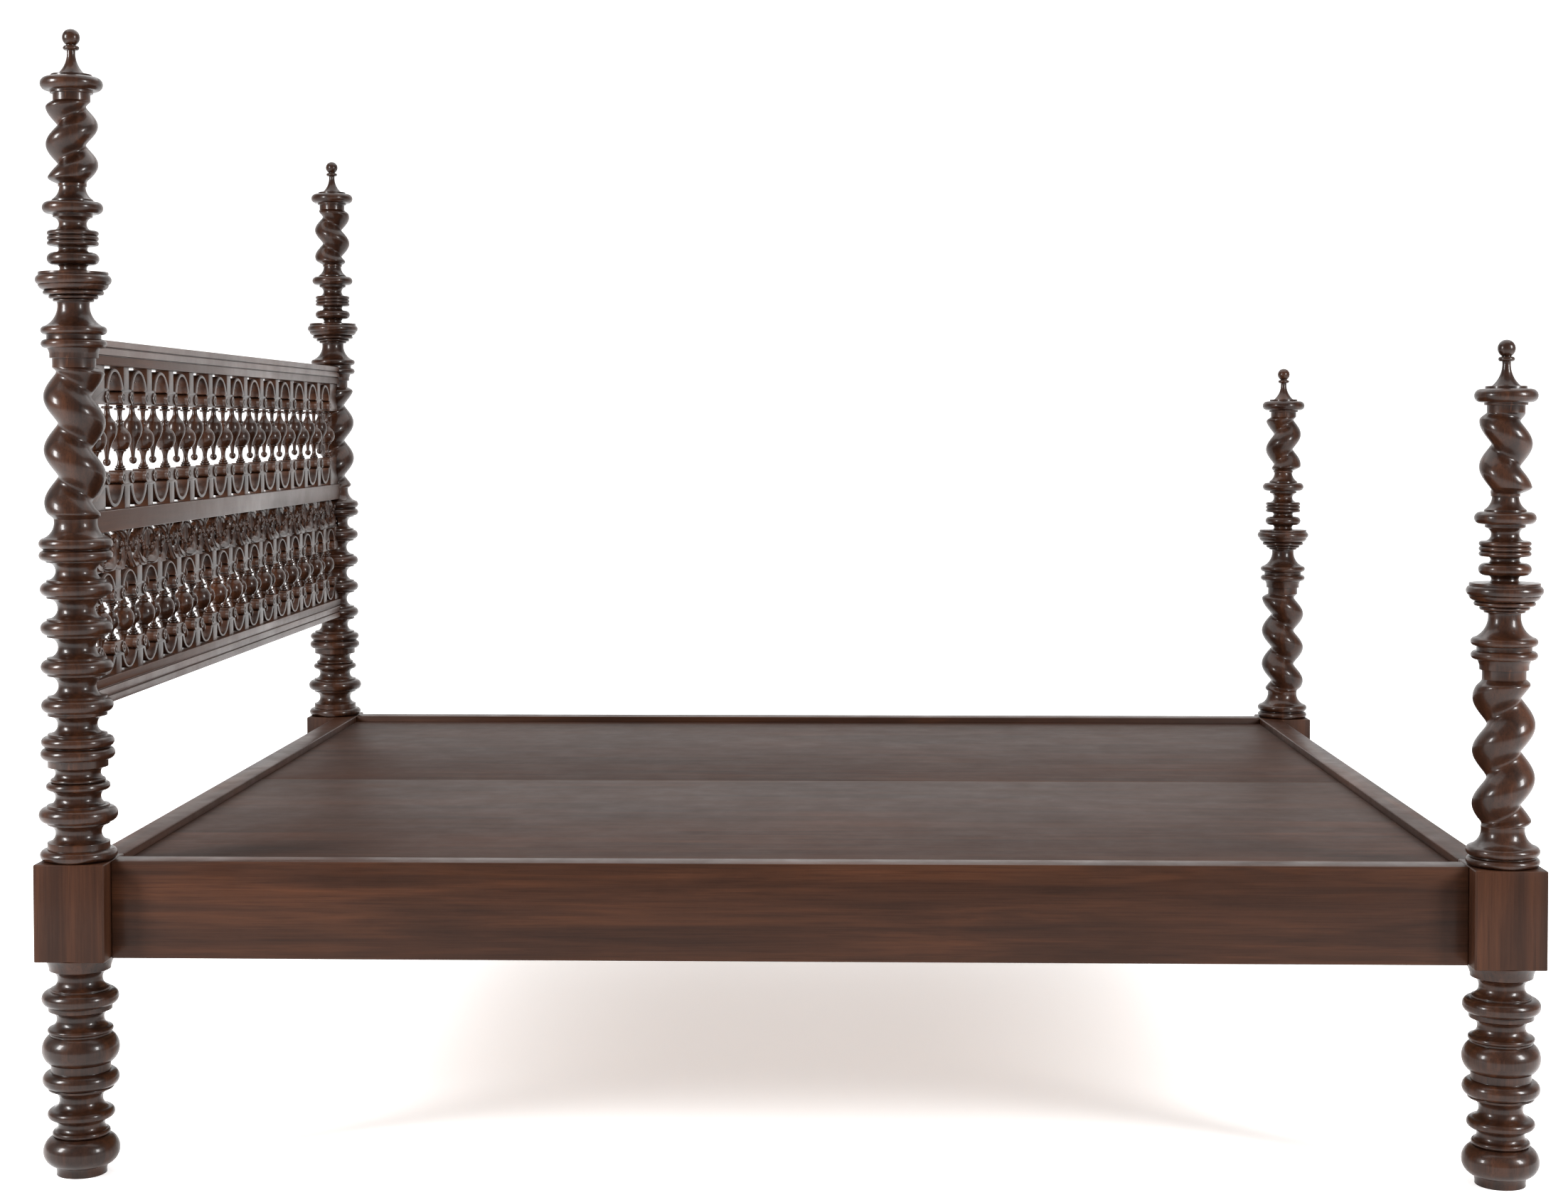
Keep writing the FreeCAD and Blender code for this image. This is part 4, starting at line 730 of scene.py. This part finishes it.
build_arcade("upper_arcade_hanging", "upper_arcade_high", *UPPER_ARCADE, UPPER_HANGING, -1)
build_arcade("lower_arcade_standing", "lower_arcade_low", *LOWER_ARCADE, BOTTOM_RAIL_TOP, 1)
build_arcade("lower_arcade_hanging", "lower_arcade_high", *LOWER_ARCADE, LOWER_HANGING, -1)


# ---------------------------------------------------------------- spindles
def fitted(mouldings, span):
    """Scale the heights of a moulding list so that it fills the span exactly."""
    factor = span / total_height(mouldings)
    return [(kind, height * factor, *radii) for kind, height, *radii in mouldings]


def spindle_row(name, node, mouldings, bottom, positions, wobble=0.0, hang=False):
    """Row of turned spindles; hanging ones lean and drop by a slightly different amount each."""
    shuffle = random.Random(node)
    bm = bmesh.new()
    points = eased(turned_points(mouldings), 0.35)
    length = total_height(mouldings)
    uneven_drop, fixed_top, segments = 1.4, 50, 40
    pivot = length if hang else 0.0
    for y in positions:
        lean = (shuffle.uniform(-1, 1) * wobble, shuffle.uniform(-1, 1) * wobble)
        drop = shuffle.uniform(-1.0, 1.0) * (uneven_drop if hang else 0.0)
        rows = []
        for radius, height in points:
            radius = max(radius, TIP_RADIUS)
            away = pivot - height if hang else height
            shift = (lean[0] * away, lean[1] * away)
            rows.append([
                (BOARD_X + shift[0] + radius * math.cos(2 * math.pi * i / segments),
                 y + shift[1] + radius * math.sin(2 * math.pi * i / segments),
                 bottom + height + (drop if hang and height < length - fixed_top else 0.0))
                for i in range(segments)
            ])
        add_grid(bm, rows)
    piece(name, bm, SPINDLES, [node])


def centred(count, pitch):
    """Places of a row of equal pitch about the middle of the bed."""
    return [(index - (count - 1) / 2) * pitch for index in range(count)]


baluster_low, pendant_top = MIDDLE_RAIL_TOP + UPPER_ARCADE_HEIGHT, TOP_RAIL_BOTTOM - UPPER_FORM[3]
ball_low, ball_high = BOTTOM_RAIL_TOP + LOWER_FORM[3], FOLIAGE_BOTTOM - LOWER_FORM[3]
knob_low = BOTTOM_RAIL_TOP + LOWER_ARCADE_HEIGHT
spindle_row("upper_ball_balusters", "upper_balusters", fitted(BALUSTER, UPPER_HANGING - baluster_low),
            baluster_low, centred(UPPER_PIERS, UPPER_PITCH))
spindle_row("upper_drop_pendants", "upper_pendants", PENDANT, pendant_top - total_height(PENDANT),
            centred(UPPER_PIERS - 1, UPPER_PITCH), 0.018, hang=True)
spindle_row("lower_ball_row", "lower_ball_spindles", fitted(LONG_SPINDLE, ball_high - ball_low),
            ball_low, centred(LOWER_PIERS - 1, LOWER_PITCH))
spindle_row("lower_knob_row", "lower_knob_spindles", fitted(SHORT_SPINDLE, LOWER_HANGING - knob_low),
            knob_low, centred(LOWER_PIERS - 2, LOWER_PITCH))


# ---------------------------------------------------------------- carved foliage
# Half width and height across a leaf: thin edge, lobe, hollow, midrib, and the same on the other side.
LEAF_SECTION = ((-1, 0.0), (-0.62, 0.75), (-0.28, 0.42), (0, 1.0), (0.28, 0.42), (0.62, 0.75), (1, 0.0))


def leaf_strip(bm, line, widths, x_front, lift, depth):
    """Carved leaf along a line of (y, z) points: a raised midrib, hollowed lobes and thin edges."""
    rows = []
    count = len(line)
    for index, (spot, width) in enumerate(zip(line, widths)):
        before, after = line[max(index - 1, 0)], line[min(index + 1, count - 1)]
        along = Vector((after[0] - before[0], after[1] - before[1])).normalized()
        side = Vector((-along.y, along.x))
        share = index / (count - 1)
        swell = lift * math.sin(math.pi * min(1.0, share * 1.1 + 0.05))
        row = []
        for across, height in LEAF_SECTION:
            row.append((x_front + height * 3.2 + swell * (1 - abs(across) * 0.4),
                        spot[0] + side.x * across * width, spot[1] + side.y * across * width))
        for across in (0.8, 0, -0.8):
            row.append((x_front - depth, spot[0] + side.x * across * width * 0.8,
                        spot[1] + side.y * across * width * 0.8))
        rows.append(row)
    add_grid(bm, rows)


def curl(centre, start_angle, turns, outer, inner, hand, steps):
    """Line of a volute that winds inwards."""
    line = []
    for step in range(steps + 1):
        share = step / steps
        angle = start_angle + hand * 2 * math.pi * turns * share
        radius = outer + (inner - outer) * share**0.85
        line.append((centre[0] + radius * math.cos(angle), centre[1] + radius * math.sin(angle)))
    return line


def frond(root, tip, bend, steps):
    """Line of a leaf that springs from its root and turns over at the tip."""
    root, tip = Vector(root), Vector(tip)
    along = tip - root
    side = Vector((-along.y, along.x)) * bend
    line = []
    for step in range(steps + 1):
        share = step / steps
        spot = root + along * share + side * math.sin(math.pi * share) + side * 0.5 * max(0.0, share - 0.75)
        line.append((spot.x, spot.y))
    return line


def lobed(count, width, lobes):
    """Widths along a leaf that swells, tapers to its tip and is notched between its lobes."""
    widths = []
    for index in range(count):
        share = index / (count - 1)
        body = math.sin(math.pi * min(1.0, 0.12 + share * 0.88)) ** 0.7
        notch = 1 - 0.28 * (0.5 + 0.5 * math.cos(2 * math.pi * lobes * share))
        widths.append(max(0.25, width * body * notch))
    return widths


def berry(bm, x, y, z, radius):
    """Carved bead between the leaves."""
    profile = [(radius * math.sin(math.pi * i / 8), -radius * math.cos(math.pi * i / 8)) for i in range(9)]
    add_lathe(bm, profile, (x, y, z), 14, along="x")


# Leaves of one unit: root, tip, bend, width, lobes, lift and base; places are (across, up) in mm.
LEAVES = (
    ((-58, 4), (6, 56), -0.32, 12.5, 3, 5.5, 4.0),
    ((-20, 2), (44, 50), -0.36, 11.0, 3, 5.0, 5.0),
    ((-60, 58), (-22, 16), 0.3, 9.5, 2, 4.0, 3.0),
    ((22, 60), (54, 14), 0.34, 9.5, 2, 4.0, 3.0),
    ((-4, 30), (24, 5), 0.3, 8.0, 2, 3.6, 3.0),
    ((-34, 40), (-42, 60), 0.2, 7.0, 2, 3.0, 2.5),
    ((30, 6), (58, 24), -0.2, 7.0, 2, 3.0, 2.5),
    ((59, 60), (58, 4), 0.04, 12.0, 3, 4.0, 3.0),
    ((-59, 60), (-58, 4), 0.04, 12.0, 3, 4.0, 3.0),
)
# Beads of one unit: across, up and radius.
BERRIES = (
    (20, 38, 5.6), (-12, 46, 4.4), (-20, 38, 3.8), (-27, 31, 3.2),
    (46, 38, 4.2), (52, 30, 3.4), (2, 12, 4.0), (-44, 26, 4.2),
)


def foliage_unit(front, centre, hand, shuffle):
    """One unit of the band; hand is +1, or -1 for its mirror image."""
    frond_steps, curl_steps, curl_base, berry_base = 18, 26, 6.0, 8.5

    def at(across, up):
        y = centre + hand * across + shuffle.uniform(-1.5, 1.5)
        return y, FOLIAGE_BOTTOM + up + shuffle.uniform(-1, 1)

    for root, tip, bend, width, lobes, lift, base in LEAVES:
        line = frond(at(*root), at(*tip), bend * hand, frond_steps)
        leaf_strip(front, line, lobed(frond_steps + 1, width, lobes), base, lift, base)
    line = curl(at(20, 38), math.pi * (0.5 + 0.2 * hand), 1.15, 17, 4.5, hand, curl_steps)
    widths = [5.6 - 2.4 * i / curl_steps for i in range(curl_steps + 1)]
    leaf_strip(front, line, widths, curl_base, 2.0, curl_base)
    for across, up, radius in BERRIES:
        berry(front, berry_base, *at(across, up), radius)


def build_foliage():
    """Running acanthus: hollowed leaves that turn over, in mirrored pairs, with beads between."""
    last_centre, half_run = HALF_WIDTH - 40, HALF_WIDTH - 32
    low, high = FOLIAGE_BOTTOM - 1, FOLIAGE_BOTTOM + FOLIAGE_HEIGHT - 0.2
    shuffle = random.Random(7)
    bm = bmesh.new()
    for facing in (1, -1):
        front = bmesh.new()
        for unit in range(-LOWER_PIERS // 2, LOWER_PIERS // 2):
            centre = (unit + 0.5) * LOWER_PITCH
            if abs(centre) <= last_centre:
                foliage_unit(front, centre, 1 if unit % 2 else -1, shuffle)
        for vert in front.verts:
            vert.co.x = BOARD_X + facing * vert.co.x
            vert.co.y = min(max(vert.co.y, -half_run), half_run)
            vert.co.z = min(max(vert.co.z, low), high)
        merge(bm, front)
    piece("acanthus_scroll", bm, GALLERY, ["carved_foliage_band"], 60)


build_foliage()


# ---------------------------------------------------------------- stage, light and camera
def build_stage():
    """Pale floor that curves up into a wall behind the bed; sizes in metres."""
    front, back, sweep, wall_top, half_width = -14.0, 7.0, 4, 16.0, 22.0
    bm = bmesh.new()
    profile = [(front, 0.0), (back, 0.0)]
    for angle in (i * math.pi / 24 for i in range(1, 13)):
        profile.append((back + sweep * math.sin(angle), sweep - sweep * math.cos(angle)))
    profile.append((back + sweep, wall_top))
    rows = [[bm.verts.new((x, y, z)) for x in (-half_width, half_width)] for y, z in profile]
    for low, high in zip(rows, rows[1:]):
        bm.faces.new((low[0], low[1], high[1], high[0]))
    mesh = bpy.data.meshes.new("studio_floor")
    bm.to_mesh(mesh)
    bm.free()
    mesh.polygons.foreach_set("use_smooth", [True] * len(mesh.polygons))
    floor = bpy.data.objects.new("studio_floor", mesh)
    bpy.context.scene.collection.objects.link(floor)
    material = bpy.data.materials.new("pale_floor")
    material.use_nodes = True
    shader = material.node_tree.nodes["Principled BSDF"]
    shader.inputs["Base Color"].default_value = (0.92, 0.92, 0.92, 1)
    # A weak glow of the floor lightens the bed's shadow.
    shader.inputs["Emission Color"].default_value = (1, 1, 1, 1)
    shader.inputs["Emission Strength"].default_value = 0.5
    shader.inputs["Roughness"].default_value = 0.9
    mesh.materials.append(material)


def softbox(name, place, target, size, power):
    light = bpy.data.lights.new(name, "AREA")
    light.shape, light.size, light.size_y = "RECTANGLE", *size
    light.energy = power
    item = bpy.data.objects.new(name, light)
    item.location = place
    item.rotation_euler = (Vector(target) - Vector(place)).to_track_quat("-Z", "Y").to_euler()
    bpy.context.scene.collection.objects.link(item)


build_stage()
softbox("softbox_left", (-3.6, -2.6, 2.1), (-0.4, 0, 0.7), (0.8, 1.5), 230)
softbox("softbox_right", (3.6, -2.8, 2.1), (0.4, 0, 0.7), (0.8, 1.5), 230)
softbox("softbox_top", (0, 1.2, 5.6), (0, 0.6, 0), (8.0, 7.0), 430)
world = bpy.data.worlds.new("studio")
world.use_nodes = True
world.node_tree.nodes["Background"].inputs["Color"].default_value = (1, 1, 1, 1)
world.node_tree.nodes["Background"].inputs["Strength"].default_value = 0.45
bpy.context.scene.world = world

camera = bpy.data.cameras.new("camera")
camera.sensor_fit, camera.sensor_width, camera.lens = "HORIZONTAL", 36, 56.83
camera.shift_x, camera.shift_y = 0.0077, -0.0604
camera.clip_end = 200
view = bpy.data.objects.new("camera", camera)
view.location = (0.0951, -4.596, 1.1228)
view.rotation_euler = (math.radians(90 - 1.778), math.radians(0.07), math.radians(1.766))
bpy.context.scene.collection.objects.link(view)
bpy.context.scene.camera = view
bpy.context.scene.view_settings.view_transform = "Standard"
